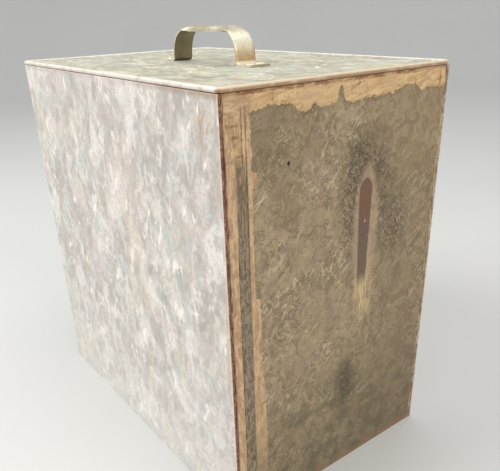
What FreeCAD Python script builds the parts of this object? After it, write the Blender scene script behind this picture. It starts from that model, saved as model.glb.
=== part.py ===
import FreeCAD, Part
import Sketcher
import math
import os
import re

# A portable icebox: a galvanised outer case and a soldered galvanised liner with cork board between them,
# a lift-off lid with a strap handle, a lift-out food tray, a slatted ice rack and a drain with a stopper.
# Frame: +Z up, origin at the middle of the base. X runs along the wide side, -Y faces the wide front,
# and +X faces the narrow end that carries the old paint. Sizes are in millimetres.

DIMENSIONS = {
    # the case, measured over its outer faces and up to its rim
    "case_length": 406,
    "case_width": 258,
    "case_height": 402,
    "corner_radius": 3,
    # sheet metal
    "gauge": 1,
    "hem_depth": 10,
    "panel_flange": 12,
    "base_flange": 15,
    "solder_leg": 1.6,
    # insulated wall: shell is what the hems take up, board is the cork
    "shell": 3,
    "board": 25,
    "breaker_height": 18,
    # liner
    "liner_radius": 8,
    "flange_width": 10,
    # lid
    "rim_gap": 1,
    "bead": 3,
    "overhang": 0.5,
    "felt": 2,
    "plug_depth": 30,
    "plug_gap": 2,
    "plug_radius": 6,
    "lid_board": 26,
    # strap handle
    "strap_width": 22,
    "strap_gauge": 2,
    "handle_spread": 114,
    "handle_rise": 34,
    "handle_bend": 28,
    "foot_length": 23,
    "grip_length": 44,
    "grip_lip": 5,
    "handle_x": 26,
    "handle_y": -13.5,
    "backing_gauge": 1.5,
    # rivets of the handle and tacks of the rim
    "rivet_radius": 2.5,
    "rivet_head": 4.6,
    "rivet_rise": 1.6,
    "tack_radius": 0.8,
    "tack_head": 2.2,
    "tack_length": 12,
    "drill_gap": 0.1,
    "pin_gap": 0.08,
    # lift-out tray on two ledges
    "ledge_top": 250,
    "ledge_width": 14,
    "ledge_leg": 16,
    "tray_gap": 3,
    "tray_depth": 60,
    "tray_radius": 5,
    # wire bails of the tray
    "wire_radius": 2,
    "bail_span": 60,
    "bail_drop": 38,
    "bail_pin": 9,
    "ear_size": 8,
    "ear_width": 4,
    "ear_below_rim": 10,
    # slatted ice rack
    "slat_length": 330,
    "slat_width": 24,
    "slat_height": 9,
    "slat_pitch": 41,
    "batten_width": 20,
    "batten_height": 12,
    "batten_length": 190,
    "batten_pitch": 138,
    # drain through the hidden narrow end
    "drain_height": 40,
    "tube_radius": 8,
    "tube_bore": 6.5,
    "tube_stand_out": 14,
    "drain_flange": 18,
    "inner_flange": 12,
    "flange_gauge": 1.5,
    "stopper_gap": 0.25,
    "stopper_plug": 15,
    "stopper_head": 9.5,
    "stopper_length": 8,
    # felt strip left on the painted end
    "strip_width": 11,
    "strip_gauge": 1,
    "strip_edge": 12,
    "strip_low": 2,
    "strip_high": 300,
}

doc = FreeCAD.newDocument("icebox")
sheet = doc.addObject("Spreadsheet::Sheet", "Dimensions")
for row, (alias, value) in enumerate(DIMENSIONS.items(), start=1):
    sheet.set(f"A{row}", alias)
    sheet.set(f"B{row}", str(value))
    sheet.setAlias(f"B{row}", alias)
doc.recompute()

UP, RIGHT, BACK = FreeCAD.Vector(0, 0, 1), FreeCAD.Vector(1, 0, 0), FreeCAD.Vector(0, 1, 0)
ALONG_X = FreeCAD.Rotation(UP, RIGHT)
ALONG_Y = FreeCAD.Rotation(UP, BACK)
UPRIGHT = FreeCAD.Rotation()
TOUCH = 1e-4
NEAR = 0.01
nodes = []

# heights and half sizes that many pieces share, as expressions on the sheet
HALF_LENGTH = "case_length / 2"
HALF_WIDTH = "case_width / 2"
HEM = "2 * gauge"
FLOOR = "(gauge + board)"
LINER_HALF_LENGTH = "(case_length / 2 - shell - board)"
LINER_HALF_WIDTH = "(case_width / 2 - shell - board)"
LID_UNDER = "(case_height + rim_gap + bead - gauge)"
LID_TOP = "(case_height + rim_gap + bead)"
RACK_BASE = "(2 * gauge + board)"
TRAY_HALF_LENGTH = f"({LINER_HALF_LENGTH} - gauge - tray_gap)"
TRAY_HALF_WIDTH = f"({LINER_HALF_WIDTH} - gauge - tray_gap)"
TRAY_RIM = "(ledge_top + tray_depth)"
BAIL_X = f"({TRAY_HALF_LENGTH} - gauge - ear_size / 2)"
BAIL_Z = f"({TRAY_RIM} - ear_below_rim)"


# ---------------------------------------------------------------- helpers


def bound(text):
    """An expression on the sheet's aliases, in the form FreeCAD reads."""
    return re.sub(r"[a-z_]+", lambda m: f"Dimensions.{m[0]}" if m[0] in DIMENSIONS else m[0], str(text))


def size(text):
    """The value of such an expression now, for shapes that code sets itself."""
    return float(eval_expression(bound(text)))


def eval_expression(text):
    return sheet.evalExpression(text)


def bind(thing, **sizes):
    for name, text in sizes.items():
        thing.setExpression(name.replace("__", "."), bound(text))
    return thing


def keep(thing, label):
    """Marks an object as a finished sub-part: its label names the file."""
    thing.Label = label
    nodes.append(thing)
    return thing


def place(thing, x, y, z, turn=UPRIGHT):
    thing.Placement = FreeCAD.Placement(FreeCAD.Vector(), turn)
    return bind(thing, Placement__Base__x=x, Placement__Base__y=y, Placement__Base__z=z)


def box(name, low, high):
    """A block between two corners, each three expressions."""
    block = doc.addObject("Part::Box", name)
    spans = [f"({b}) - ({a})" for a, b in zip(low, high)]
    bind(block, Length=spans[0], Width=spans[1], Height=spans[2])
    return place(block, *low)


def cylinder(name, radius, length, at, turn=UPRIGHT):
    rod = doc.addObject("Part::Cylinder", name)
    bind(rod, Radius=radius, Height=length)
    return place(rod, *at, turn)


def cone(name, low_radius, high_radius, length, at, turn=UPRIGHT):
    taper = doc.addObject("Part::Cone", name)
    bind(taper, Radius1=low_radius, Radius2=high_radius, Height=length)
    return place(taper, *at, turn)


def joined(name, pieces):
    fuse = doc.addObject("Part::MultiFuse", name)
    fuse.Shapes = pieces
    return fuse


def group(name, pieces):
    bundle = doc.addObject("Part::Compound", name)
    bundle.Links = pieces
    return bundle


def cut(name, base, tool):
    """base less tool, which must take something away."""
    result = doc.addObject("Part::Cut", name)
    result.Base = base
    result.Tool = tool
    doc.recompute()
    assert result.Shape.Volume < base.Shape.Volume - TOUCH, f"{name} cuts nothing"
    return result


def body(name):
    return doc.addObject("PartDesign::Body", name)


def sketch(owner, name, plane, offset="0"):
    """An empty sketch on one of the body's own planes, moved along its normal."""
    drawn = owner.newObject("Sketcher::SketchObject", name)
    support = next(f for f in owner.Origin.OriginFeatures if f.Role == plane)
    drawn.AttachmentSupport = [(support, "")]
    drawn.MapMode = "FlatFace"
    bind(drawn, AttachmentOffset__Base__z=offset)
    return drawn


def dimension(drawn, kind, geometry, point, text, name):
    index = drawn.addConstraint(Sketcher.Constraint(kind, -1, 1, geometry, point, size(text)))
    drawn.renameConstraint(index, name)
    drawn.setExpression(f"Constraints.{name}", bound(text))


def polygon(owner, name, plane, corners, offset="0"):
    """A closed outline of straight lines through corners, each two expressions."""
    drawn = sketch(owner, name, plane, offset)
    points = [FreeCAD.Vector(size(x), size(y), 0) for x, y in corners]
    for start, end in zip(points, points[1:] + points[:1]):
        drawn.addGeometry(Part.LineSegment(start, end))
    for i, (x, y) in enumerate(corners):
        drawn.addConstraint(Sketcher.Constraint("Coincident", i - 1 if i else len(corners) - 1, 2, i, 1))
        dimension(drawn, "DistanceX", i, 1, x, f"x{i}")
        dimension(drawn, "DistanceY", i, 1, y, f"y{i}")
    return drawn


def rectangle(x_low, x_high, y_low, y_high):
    return [(x_low, y_low), (x_high, y_low), (x_high, y_high), (x_low, y_high)]


def centred(half_x, half_y):
    return rectangle(f"-({half_x})", half_x, f"-({half_y})", half_y)


def pad(owner, profile, length, both_ways=False, backwards=False):
    feature = owner.newObject("PartDesign::Pad", f"{profile.Name}_pad")
    feature.Profile = profile
    feature.Midplane = both_ways
    feature.Reversed = backwards
    bind(feature, Length=length)
    doc.recompute()
    return feature


def pocket(owner, profile, depth, backwards=False):
    before = owner.Shape.Volume
    feature = owner.newObject("PartDesign::Pocket", f"{profile.Name}_pocket")
    feature.Profile = profile
    feature.Reversed = backwards
    bind(feature, Length=depth)
    doc.recompute()
    assert owner.Shape.Volume < before - TOUCH, f"{feature.Name} cuts nothing"
    return feature


def edges_where(shape, test):
    """Names of the straight edges whose middle and direction pass test."""
    found = []
    for number, edge in enumerate(shape.Edges, start=1):
        start, end = edge.firstVertex().Point, edge.lastVertex().Point
        if start.distanceToPoint(end) > TOUCH and test((start + end) / 2, (end - start).normalize()):
            found.append(f"Edge{number}")
    assert found, "no edge passes the test"
    return found


def fillet(owner, radius, test):
    base = owner.Tip
    edges = edges_where(base.Shape, test)
    feature = owner.newObject("PartDesign::Fillet", f"{owner.Name}_fillet")
    feature.Base = (base, edges)
    bind(feature, Radius=radius)
    doc.recompute()
    return feature


def upright_at(half_x, half_y):
    """Test for the vertical edges at the corners of a centred rectangle."""
    x, y = size(half_x), size(half_y)

    def passes(mid, way):
        return abs(way.z) > 1 - NEAR and abs(abs(mid.x) - x) < NEAR and abs(abs(mid.y) - y) < NEAR

    return passes


def block(name, half_x, half_y, low, high, radius):
    """A centred block whose four upright corners are rounded."""
    made = body(name)
    outline = polygon(made, f"{name}_outline", "XY_Plane", centred(half_x, half_y), low)
    pad(made, outline, f"({high}) - ({low})")
    fillet(made, radius, upright_at(half_x, half_y))
    return made


def across_at(middle, apart, level):
    """Test for the edges along Y at one height, on both sides of a middle."""

    def passes(mid, way):
        return abs(way.y) > 1 - NEAR and abs(mid.z - level) < NEAR and abs(abs(mid.x - middle) - apart) < NEAR

    return passes


def pan(name, half_x, half_y, low, high, radius, flange=None):
    """An open sheet-metal pan with rounded corners, and a flange round its mouth if its reach is given."""
    outside = block(f"{name}Outside", half_x, half_y, low, high, radius)
    if flange:
        reach_x, reach_y = f"({half_x}) + ({flange})", f"({half_y}) + ({flange})"
        brim_low = (f"-({reach_x})", f"-({reach_y})", f"({high}) - gauge")
        brim = box(f"{name}Brim", brim_low, (reach_x, reach_y, high))
        outside = joined(f"{name}Whole", [outside, brim])
    inner = (f"({half_x}) - gauge", f"({half_y}) - gauge")
    hollow = block(f"{name}Hollow", *inner, f"({low}) + gauge", f"({high}) + gauge", f"({radius}) - gauge")
    return cut(name, outside, hollow)


# ---------------------------------------------------------------- outer case


def make_side_wrap():
    """One sheet bent round three sides, with its raw edges hemmed inwards."""
    wrap = body("SideWrap")
    pad(wrap, polygon(wrap, "wrap_block", "XY_Plane", centred(HALF_LENGTH, HALF_WIDTH)), "case_height")
    left_corner = upright_at(HALF_LENGTH, HALF_WIDTH)
    fillet(wrap, "corner_radius", lambda mid, way: mid.x < 0 and left_corner(mid, way))
    inside_hems = rectangle(
        f"-({HALF_LENGTH} - {HEM})", HALF_LENGTH, f"-({HALF_WIDTH} - {HEM})", f"{HALF_WIDTH} - {HEM}"
    )
    pocket(wrap, polygon(wrap, "inside_hems", "XY_Plane", inside_hems, "case_height"), "case_height")
    inside_sheet = rectangle(
        f"-({HALF_LENGTH} - gauge)",
        f"{HALF_LENGTH} - hem_depth",
        f"-({HALF_WIDTH} - gauge)",
        f"{HALF_WIDTH} - gauge",
    )
    between_hems = polygon(wrap, "between_hems", "XY_Plane", inside_sheet, "case_height - hem_depth")
    pocket(wrap, between_hems, "case_height - 2 * hem_depth")
    inner_corner = upright_at(f"{HALF_LENGTH} - gauge", f"{HALF_WIDTH} - gauge")
    fillet(wrap, "corner_radius - gauge", lambda mid, way: mid.x < 0 and inner_corner(mid, way))
    hole = cylinder(
        "WrapDrainHole",
        "tube_radius + drill_gap",
        "2 * shell",
        (f"-{HALF_LENGTH} - shell", "0", "drain_height"),
        ALONG_X,
    )
    keep(cut("SideWrapDrilled", wrap, hole), "side_wrap")


def make_end_panel():
    """The narrow end: a flat panel set one gauge back in the wrap's hems, with two flanges turned in."""
    panel = body("EndPanel")
    face_x = f"{HALF_LENGTH} - gauge"
    across = (f"-({HALF_WIDTH} - {HEM})", f"{HALF_WIDTH} - {HEM}")
    face = polygon(panel, "panel_face", "YZ_Plane", rectangle(*across, "0", "case_height"), face_x)
    pad(panel, face, "gauge", backwards=True)
    low, high = "base_flange + gauge", "case_height - breaker_height - gauge"
    for side, edges in (
        ("left", (across[0], f"{across[0]} + gauge")),
        ("right", (f"{across[1]} - gauge", across[1])),
    ):
        flange = polygon(panel, f"panel_flange_{side}", "YZ_Plane", rectangle(*edges, low, high), face_x)
        pad(panel, flange, "panel_flange", backwards=True)
    keep(panel, "end_panel")


def make_solder_seams():
    """Solder in the two upright corners between the end panel and the hems."""
    seams = body("SolderSeams")
    edge, top = f"{HALF_WIDTH} - {HEM}", f"{HALF_LENGTH} - gauge"
    for name, sign in (("front", "-"), ("back", "")):
        corners = [
            (top, f"{sign}({edge})"),
            (f"{top} + 0.7 * gauge", f"{sign}({edge})"),
            (top, f"{sign}({edge} - solder_leg)"),
        ]
        profile = polygon(seams, f"seam_{name}", "XY_Plane", corners, "strip_low")
        pad(seams, profile, "case_height - strip_low")
    keep(seams, "solder_seams")


def make_base_pan():
    half_x, half_y = f"{HALF_LENGTH} - {HEM}", f"{HALF_WIDTH} - {HEM}"
    keep(pan("BasePan", half_x, half_y, "0", "base_flange", "corner_radius - gauge"), "base_pan")


def make_felt_strip():
    """A strip of felt glued upright beside the front corner of the painted end."""
    face_x = f"{HALF_LENGTH} - gauge"
    edge = f"-({HALF_WIDTH} - strip_edge)"
    far = f"{edge} + strip_width"
    strip = box("FeltStrip", (face_x, edge, "strip_low"), (f"{face_x} + strip_gauge", far, "strip_high"))
    keep(strip, "felt_strip")


# ---------------------------------------------------------------- insulated wall


def make_cork():
    outer_x, outer_y = f"{HALF_LENGTH} - shell", f"{HALF_WIDTH} - shell"
    low, high = FLOOR, "case_height - gauge - breaker_height"
    keep(block("CorkBottom", outer_x, outer_y, "gauge", FLOOR, "corner_radius"), "cork_bottom")
    front = box("CorkFront", (f"-({outer_x})", f"-({outer_y})", low), (outer_x, f"-{LINER_HALF_WIDTH}", high))
    keep(front, "cork_front")
    back = box("CorkBack", (f"-({outer_x})", LINER_HALF_WIDTH, low), (outer_x, outer_y, high))
    keep(back, "cork_back")
    right = box(
        "CorkRight",
        (LINER_HALF_LENGTH, f"-{LINER_HALF_WIDTH}", low),
        (outer_x, LINER_HALF_WIDTH, high),
    )
    keep(right, "cork_right_end")
    left = box(
        "CorkLeft",
        (f"-({outer_x})", f"-{LINER_HALF_WIDTH}", low),
        (f"-{LINER_HALF_LENGTH}", LINER_HALF_WIDTH, high),
    )
    start = (f"-({outer_x}) - board / 2", "0", "drain_height")
    hole = cylinder("CorkDrainHole", "tube_radius + gauge", "2 * board", start, ALONG_X)
    keep(cut("CorkLeftDrilled", left, hole), "cork_left_end")


def tack_places():
    """Where the tacks stand on the liner's flange: three along each side, two across each end."""
    across_x = f"({LINER_HALF_LENGTH} + flange_width / 2)"
    across_y = f"({LINER_HALF_WIDTH} + flange_width / 2)"
    along = [(f"{step} * case_length / 3", f"{side} * {across_y}") for side in (-1, 1) for step in (-1, 0, 1)]
    ends = [(f"{side} * {across_x}", f"{step} * case_width / 5") for side in (-1, 1) for step in (-1, 1)]
    return along + ends


def make_tacks(name, gap):
    """The rim's tacks, or with a gap the tool that drills their holes."""
    made = []
    for number, (x, y) in enumerate(tack_places()):
        head = cylinder(f"{name}Head{number}", f"tack_head + {gap}", "gauge", (x, y, "case_height - gauge"))
        shank = cylinder(
            f"{name}Shank{number}", f"tack_radius + {gap}", "tack_length", (x, y, "case_height - tack_length")
        )
        made.append(joined(f"{name}{number}", [head, shank]))
    return group(name, made)


def make_liner(drill):
    liner = pan(
        "Liner", LINER_HALF_LENGTH, LINER_HALF_WIDTH, FLOOR, "case_height", "liner_radius", "flange_width"
    )
    hole = cylinder(
        "LinerDrainHole",
        "tube_radius + drill_gap",
        "board",
        (f"-{LINER_HALF_LENGTH} - board / 2", "0", "drain_height"),
        ALONG_X,
    )
    keep(cut("LinerDrilled", cut("LinerWithDrain", liner, hole), drill), "liner")


def make_breakers(drill):
    """Four pine strips that keep the cold liner off the warm case round the rim."""
    outer_x, outer_y = f"({HALF_LENGTH} - {HEM})", f"({HALF_WIDTH} - {HEM})"
    inner_x, inner_y = LINER_HALF_LENGTH, LINER_HALF_WIDTH
    spans = {
        "front": ((f"-{outer_x}", f"-{outer_y}"), (outer_x, f"-{inner_y}")),
        "back": ((f"-{outer_x}", inner_y), (outer_x, outer_y)),
        "left": ((f"-{outer_x}", f"-{inner_y}"), (f"-{inner_x}", inner_y)),
        "right": ((inner_x, f"-{inner_y}"), (outer_x, inner_y)),
    }
    low, high = "case_height - gauge - breaker_height", "case_height - gauge"
    for side, (start, end) in spans.items():
        strip = box(f"Breaker{side.title()}", (*start, low), (*end, high))
        keep(cut(f"Breaker{side.title()}Drilled", strip, drill), f"breaker_{side}")


def make_ledges():
    """Two angles soldered along the liner's long walls, that carry the tray."""
    wall = f"({LINER_HALF_WIDTH} - gauge)"
    for side, sign in (("front", "-"), ("back", "")):
        made = body(f"Ledge{side.title()}")
        corners = [
            (f"{sign}{wall}", "ledge_top"),
            (f"{sign}({wall} - ledge_width)", "ledge_top"),
            (f"{sign}({wall} - ledge_width)", "ledge_top - gauge"),
            (f"{sign}({wall} - gauge)", "ledge_top - gauge"),
            (f"{sign}({wall} - gauge)", "ledge_top - ledge_leg"),
            (f"{sign}{wall}", "ledge_top - ledge_leg"),
        ]
        pad(made, polygon(made, f"ledge_{side}_profile", "YZ_Plane", corners), "slat_length", both_ways=True)
        keep(made, f"tray_ledge_{side}")


# ---------------------------------------------------------------- drain


def ring(name, radius, bore, low, high):
    """A round piece with a hole through it on the drain's axis, from low to high along X."""
    span = f"({high}) - ({low})"
    disc = cylinder(f"{name}Disc", radius, span, (low, "0", "drain_height"), ALONG_X)
    start = (f"({low}) - board / 2", "0", "drain_height")
    return cut(name, disc, cylinder(f"{name}Hole", bore, f"{span} + board", start, ALONG_X))


def make_drain():
    wall_x, case_x = f"-({LINER_HALF_LENGTH} - gauge)", f"-{HALF_LENGTH}"
    tube = (f"{case_x} - tube_stand_out", f"{wall_x} + gauge")
    keep(ring("DrainTube", "tube_radius", "tube_bore", *tube), "drain_tube")
    outer_flange = ring("FlangeOuter", "drain_flange", "tube_radius", f"{case_x} - flange_gauge", case_x)
    keep(outer_flange, "drain_flange_outer")
    inner_flange = ring("FlangeInner", "inner_flange", "tube_radius", wall_x, f"{wall_x} + gauge")
    keep(inner_flange, "drain_flange_inner")


def make_stopper():
    """A tapered rubber stopper in the mouth of the drain tube, drawn out towards -X."""
    mouth = f"-({HALF_LENGTH} + tube_stand_out)"
    plug = cone(
        "StopperPlug",
        "tube_bore - stopper_gap",
        "tube_bore - 2 * stopper_gap",
        "stopper_plug",
        (mouth, "0", "drain_height"),
        ALONG_X,
    )
    head = cone(
        "StopperHead",
        "0.85 * stopper_head",
        "stopper_head",
        "stopper_length",
        (f"{mouth} - stopper_length", "0", "drain_height"),
        ALONG_X,
    )
    keep(joined("Stopper", [plug, head]), "drain_stopper")


# ---------------------------------------------------------------- lid


def rivet_places():
    """Two rivets in each foot of the handle, side by side across the strap."""
    reach = "(handle_spread / 2 + foot_length * 0.55)"
    corners = [(end, side) for end in (-1, 1) for side in (-1, 1)]
    return [(f"handle_x + {end} * {reach}", f"handle_y + {side} * strap_width / 4") for end, side in corners]


def make_rivet_drill():
    holes = [
        cylinder(f"RivetHole{n}", "rivet_radius + drill_gap", "2 * board", (x, y, f"{LID_TOP} - board"))
        for n, (x, y) in enumerate(rivet_places())
    ]
    return group("RivetHoles", holes)


def make_lid_sheet(drill):
    """The top sheet, its edge turned down and back into a bead all round."""
    lid = body("LidSheet")
    half_x, half_y = f"{HALF_LENGTH} + overhang", f"{HALF_WIDTH} + overhang"
    pad(lid, polygon(lid, "lid_block", "XY_Plane", centred(half_x, half_y), "case_height + rim_gap"), "bead")
    fillet(lid, "corner_radius", upright_at(half_x, half_y))
    top = size(LID_TOP)
    fillet(lid, "0.45 * bead", lambda mid, way: abs(mid.z - top) < NEAR and abs(way.z) < NEAR)
    inside = centred(f"({half_x}) - bead", f"({half_y}) - bead")
    hollow = polygon(lid, "lid_hollow", "XY_Plane", inside, "case_height + rim_gap")
    pocket(lid, hollow, "bead - gauge", backwards=True)
    keep(cut("LidSheetDrilled", lid, drill), "lid_sheet")


def make_lid_plug():
    """The pan, board and felt under the lid's sheet."""
    half_x, half_y = f"{LINER_HALF_LENGTH} - gauge - plug_gap", f"{LINER_HALF_WIDTH} - gauge - plug_gap"
    low = f"{LID_UNDER} - plug_depth"
    brim = f"({HALF_LENGTH} + overhang - bead) - ({half_x})"
    keep(pan("LidPan", half_x, half_y, low, LID_UNDER, "plug_radius", brim), "lid_pan")
    inner_x, inner_y = f"({half_x}) - plug_radius", f"({half_y}) - plug_radius"
    board = box(
        "LidCork",
        (f"-({inner_x})", f"-({inner_y})", f"{low} + gauge"),
        (inner_x, inner_y, f"{low} + gauge + lid_board"),
    )
    keep(board, "lid_cork")
    outer = [f"{HALF_LENGTH} - 5 * gauge", f"{HALF_WIDTH} - 5 * gauge"]
    ring = box(
        "GasketBlock",
        (f"-({outer[0]})", f"-({outer[1]})", "case_height"),
        (outer[0], outer[1], "case_height + felt"),
    )
    opening = (f"{LINER_HALF_LENGTH} + gauge", f"{LINER_HALF_WIDTH} + gauge")
    tool = box(
        "GasketOpening",
        (f"-({opening[0]})", f"-({opening[1]})", "case_height - felt"),
        (opening[0], opening[1], "case_height + 2 * felt"),
    )
    keep(cut("LidGasket", ring, tool), "lid_gasket")


def make_handle(drill):
    """One strap bent to a bridge with two feet, its edges turned down over the grip."""
    strap = body("Handle")
    reach, foot = "handle_spread / 2", "foot_length"
    low, high = LID_TOP, f"({LID_TOP} + handle_rise)"
    outline = []
    for sign in ("-", "+"):
        side = [
            (f"handle_x {sign} ({reach} + {foot})", low),
            (f"handle_x {sign} ({reach} + {foot})", f"{low} + strap_gauge"),
            (f"handle_x {sign} ({reach})", f"{low} + strap_gauge"),
            (f"handle_x {sign} ({reach})", high),
        ]
        outline += side if sign == "-" else side[::-1]
    outline += [
        (f"handle_x + {reach} - strap_gauge", low),
        (f"handle_x + {reach} - strap_gauge", f"{high} - strap_gauge"),
        (f"handle_x - {reach} + strap_gauge", f"{high} - strap_gauge"),
        (f"handle_x - {reach} + strap_gauge", low),
    ]
    profile = polygon(strap, "strap_profile", "XZ_Plane", outline, "-(handle_y)")
    pad(strap, profile, "strap_width", both_ways=True)
    for height, radius in (
        (high, "handle_bend"),
        (f"{high} - strap_gauge", "handle_bend - strap_gauge"),
        (f"{low} + strap_gauge", "strap_gauge"),
    ):
        level, middle = size(height), size("handle_x")
        apart = size(reach if height != f"{high} - strap_gauge" else f"{reach} - strap_gauge")
        fillet(strap, radius, across_at(middle, apart, level))
    for name, sign in (("front", "-"), ("back", "+")):
        edge = f"handle_y {sign} strap_width / 2"
        lip = rectangle(
            "handle_x - grip_length / 2",
            "handle_x + grip_length / 2",
            f"{high} - grip_lip",
            f"{high} - strap_gauge / 2",
        )
        drawn = polygon(strap, f"lip_{name}", "XZ_Plane", lip, f"-({edge})")
        pad(strap, drawn, "strap_gauge", backwards=sign == "-")
    keep(cut("HandleDrilled", strap, drill), "lid_handle")


def make_backing_plates(drill):
    """Plates inside the lid that spread the handle's pull."""
    reach, foot = "handle_spread / 2", "foot_length"
    for side, near, far in (
        ("left", f"handle_x - {reach} - {foot}", f"handle_x - {reach}"),
        ("right", f"handle_x + {reach}", f"handle_x + {reach} + {foot}"),
    ):
        plate = box(
            f"Backing{side.title()}",
            (near, "handle_y - strap_width / 2", f"{LID_UNDER} - backing_gauge"),
            (far, "handle_y + strap_width / 2", LID_UNDER),
        )
        keep(cut(f"Backing{side.title()}Drilled", plate, drill), f"backing_plate_{side}")


def make_rivets():
    made = []
    top, bottom = f"({LID_TOP} + strap_gauge)", f"({LID_UNDER} - backing_gauge)"
    for number, (x, y) in enumerate(rivet_places()):
        shank = cylinder(f"RivetShank{number}", "rivet_radius", f"{top} - {bottom}", (x, y, bottom))
        head = cone(f"RivetHead{number}", "rivet_head", "0.55 * rivet_head", "rivet_rise", (x, y, top))
        tail = cone(
            f"RivetTail{number}", "0.6 * rivet_head", "0.8 * rivet_head", "gauge", (x, y, f"{bottom} - gauge")
        )
        made.append(joined(f"Rivet{number}", [shank, head, tail]))
    keep(group("Rivets", made), "handle_rivets")


# ---------------------------------------------------------------- tray and bails


def make_tray():
    tray = pan("FoodTray", TRAY_HALF_LENGTH, TRAY_HALF_WIDTH, "ledge_top", TRAY_RIM, "tray_radius")
    keep(tray, "food_tray")


def make_ears():
    """Four clips inside the tray's ends, whose eyes hold the bails' pins."""
    made = []
    for end in (-1, 1):
        for side in (-1, 1):
            name = f"Ear{'L' if end < 0 else 'R'}{'F' if side < 0 else 'B'}"
            x, y = f"{end} * {BAIL_X}", f"{side} * (bail_span + bail_pin + ear_width / 2) / 2"
            clip = box(
                f"{name}Clip",
                (f"{x} - ear_size / 2", f"{y} - ear_width / 2", f"{BAIL_Z} - ear_size / 2"),
                (f"{x} + ear_size / 2", f"{y} + ear_width / 2", f"{BAIL_Z} + ear_size / 2"),
            )
            at = (x, f"{y} - bail_span / 4", BAIL_Z)
            eye = cylinder(f"{name}Eye", "wire_radius + pin_gap", "bail_span / 2", at, ALONG_Y)
            made.append(cut(name, clip, eye))
    keep(group("TrayEars", made), "tray_ears")


def make_bail(label, end):
    """A wire handle hanging inside the tray's end, its two ends bent out into the ears."""
    bail = body(f"Bail{label.title().replace('_', '')}")
    x = f"{end} * {BAIL_X}"
    half, drop, pin = "bail_span / 2", "bail_drop", "bail_pin"
    small, large = "1.5 * wire_radius", "4 * wire_radius"
    path = sketch(bail, f"{label}_path", "YZ_Plane", x)
    y0, z0 = size(half), size(BAIL_Z)
    depth, tip, r, big = size(drop), size(pin), size(small), size(large)
    quarter = math.pi / 2

    def line(*points):
        ends = [FreeCAD.Vector(a, b, 0) for a, b in points]
        return path.addGeometry(Part.LineSegment(*ends))

    def arc(centre, radius, start):
        circle = Part.Circle(FreeCAD.Vector(*centre, 0), UP, radius)
        return path.addGeometry(Part.ArcOfCircle(circle, start, start + quarter))

    pin_front = line((-y0 - tip, z0), (-y0 - r, z0))
    top_front = arc((-y0 - r, z0 - r), r, 0)
    leg_front = line((-y0, z0 - r), (-y0, z0 - depth + big))
    low_front = arc((-y0 + big, z0 - depth + big), big, 2 * quarter)
    bar = line((-y0 + big, z0 - depth), (y0 - big, z0 - depth))
    low_back = arc((y0 - big, z0 - depth + big), big, 3 * quarter)
    leg_back = line((y0, z0 - depth + big), (y0, z0 - r))
    top_back = arc((y0 + r, z0 - r), r, quarter)
    pin_back = line((y0 + r, z0), (y0 + tip, z0))
    for first, first_end, second, second_end in (
        (pin_front, 2, top_front, 2),
        (top_front, 1, leg_front, 1),
        (leg_front, 2, low_front, 1),
        (low_front, 2, bar, 1),
        (bar, 2, low_back, 1),
        (low_back, 2, leg_back, 1),
        (leg_back, 2, top_back, 2),
        (top_back, 1, pin_back, 1),
    ):
        path.addConstraint(Sketcher.Constraint("Tangent", first, first_end, second, second_end))
    for level in (pin_front, bar, pin_back):
        path.addConstraint(Sketcher.Constraint("Horizontal", level))
    for name, geometry, text in (
        ("bend_front", top_front, small),
        ("bend_back", top_back, small),
        ("corner_front", low_front, large),
        ("corner_back", low_back, large),
    ):
        index = path.addConstraint(Sketcher.Constraint("Radius", geometry, size(text)))
        path.renameConstraint(index, name)
        path.setExpression(f"Constraints.{name}", bound(text))
    dimension(path, "DistanceX", pin_front, 1, f"-({half} + {pin})", "tip_front")
    dimension(path, "DistanceX", pin_back, 2, f"{half} + {pin}", "tip_back")
    dimension(path, "DistanceX", leg_front, 1, f"-({half})", "leg_front")
    dimension(path, "DistanceX", leg_back, 2, half, "leg_back")
    dimension(path, "DistanceY", pin_front, 1, BAIL_Z, "pin_height")
    dimension(path, "DistanceY", bar, 1, f"{BAIL_Z} - {drop}", "bar_height")
    section = sketch(bail, f"{label}_section", "XZ_Plane", f"{half} + {pin}")
    round_wire = Part.Circle(FreeCAD.Vector(size(x), z0, 0), UP, size("wire_radius"))
    section.addGeometry(round_wire)
    index = section.addConstraint(Sketcher.Constraint("Radius", 0, size("wire_radius")))
    section.renameConstraint(index, "wire")
    section.setExpression("Constraints.wire", bound("wire_radius"))
    dimension(section, "DistanceX", 0, 3, x, "centre_x")
    dimension(section, "DistanceY", 0, 3, BAIL_Z, "centre_z")
    doc.recompute()
    pipe = bail.newObject("PartDesign::AdditivePipe", f"{label}_wire")
    pipe.Profile = section
    pipe.Spine = path
    doc.recompute()
    keep(bail, label)


# ---------------------------------------------------------------- ice rack


def make_rack():
    """Five slats nailed across three battens, standing on the liner's floor."""
    slat_low, slat_high = f"{RACK_BASE} + batten_height", f"{RACK_BASE} + batten_height + slat_height"
    nails = []
    for number in range(5):
        middle = f"{number - 2} * slat_pitch"
        slat = box(
            f"Slat{number}",
            ("-slat_length / 2", f"{middle} - slat_width / 2", slat_low),
            ("slat_length / 2", f"{middle} + slat_width / 2", slat_high),
        )
        keep(slat, f"rack_slat_{number + 1}")
    for label, step in (("left", -1), ("middle", 0), ("right", 1)):
        middle = f"{step} * batten_pitch"
        batten = box(
            f"Batten{label.title()}",
            (f"{middle} - batten_width / 2", "-batten_length / 2", RACK_BASE),
            (f"{middle} + batten_width / 2", "batten_length / 2", slat_low),
        )
        keep(batten, f"rack_batten_{label}")
        for number in range(5):
            at = (middle, f"{number - 2} * slat_pitch", slat_high)
            nails.append(cylinder(f"Nail{label.title()}{number}", "tack_head", "0.5 * gauge", at))
    keep(group("RackNails", nails), "rack_nails")


# ---------------------------------------------------------------- the document


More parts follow.
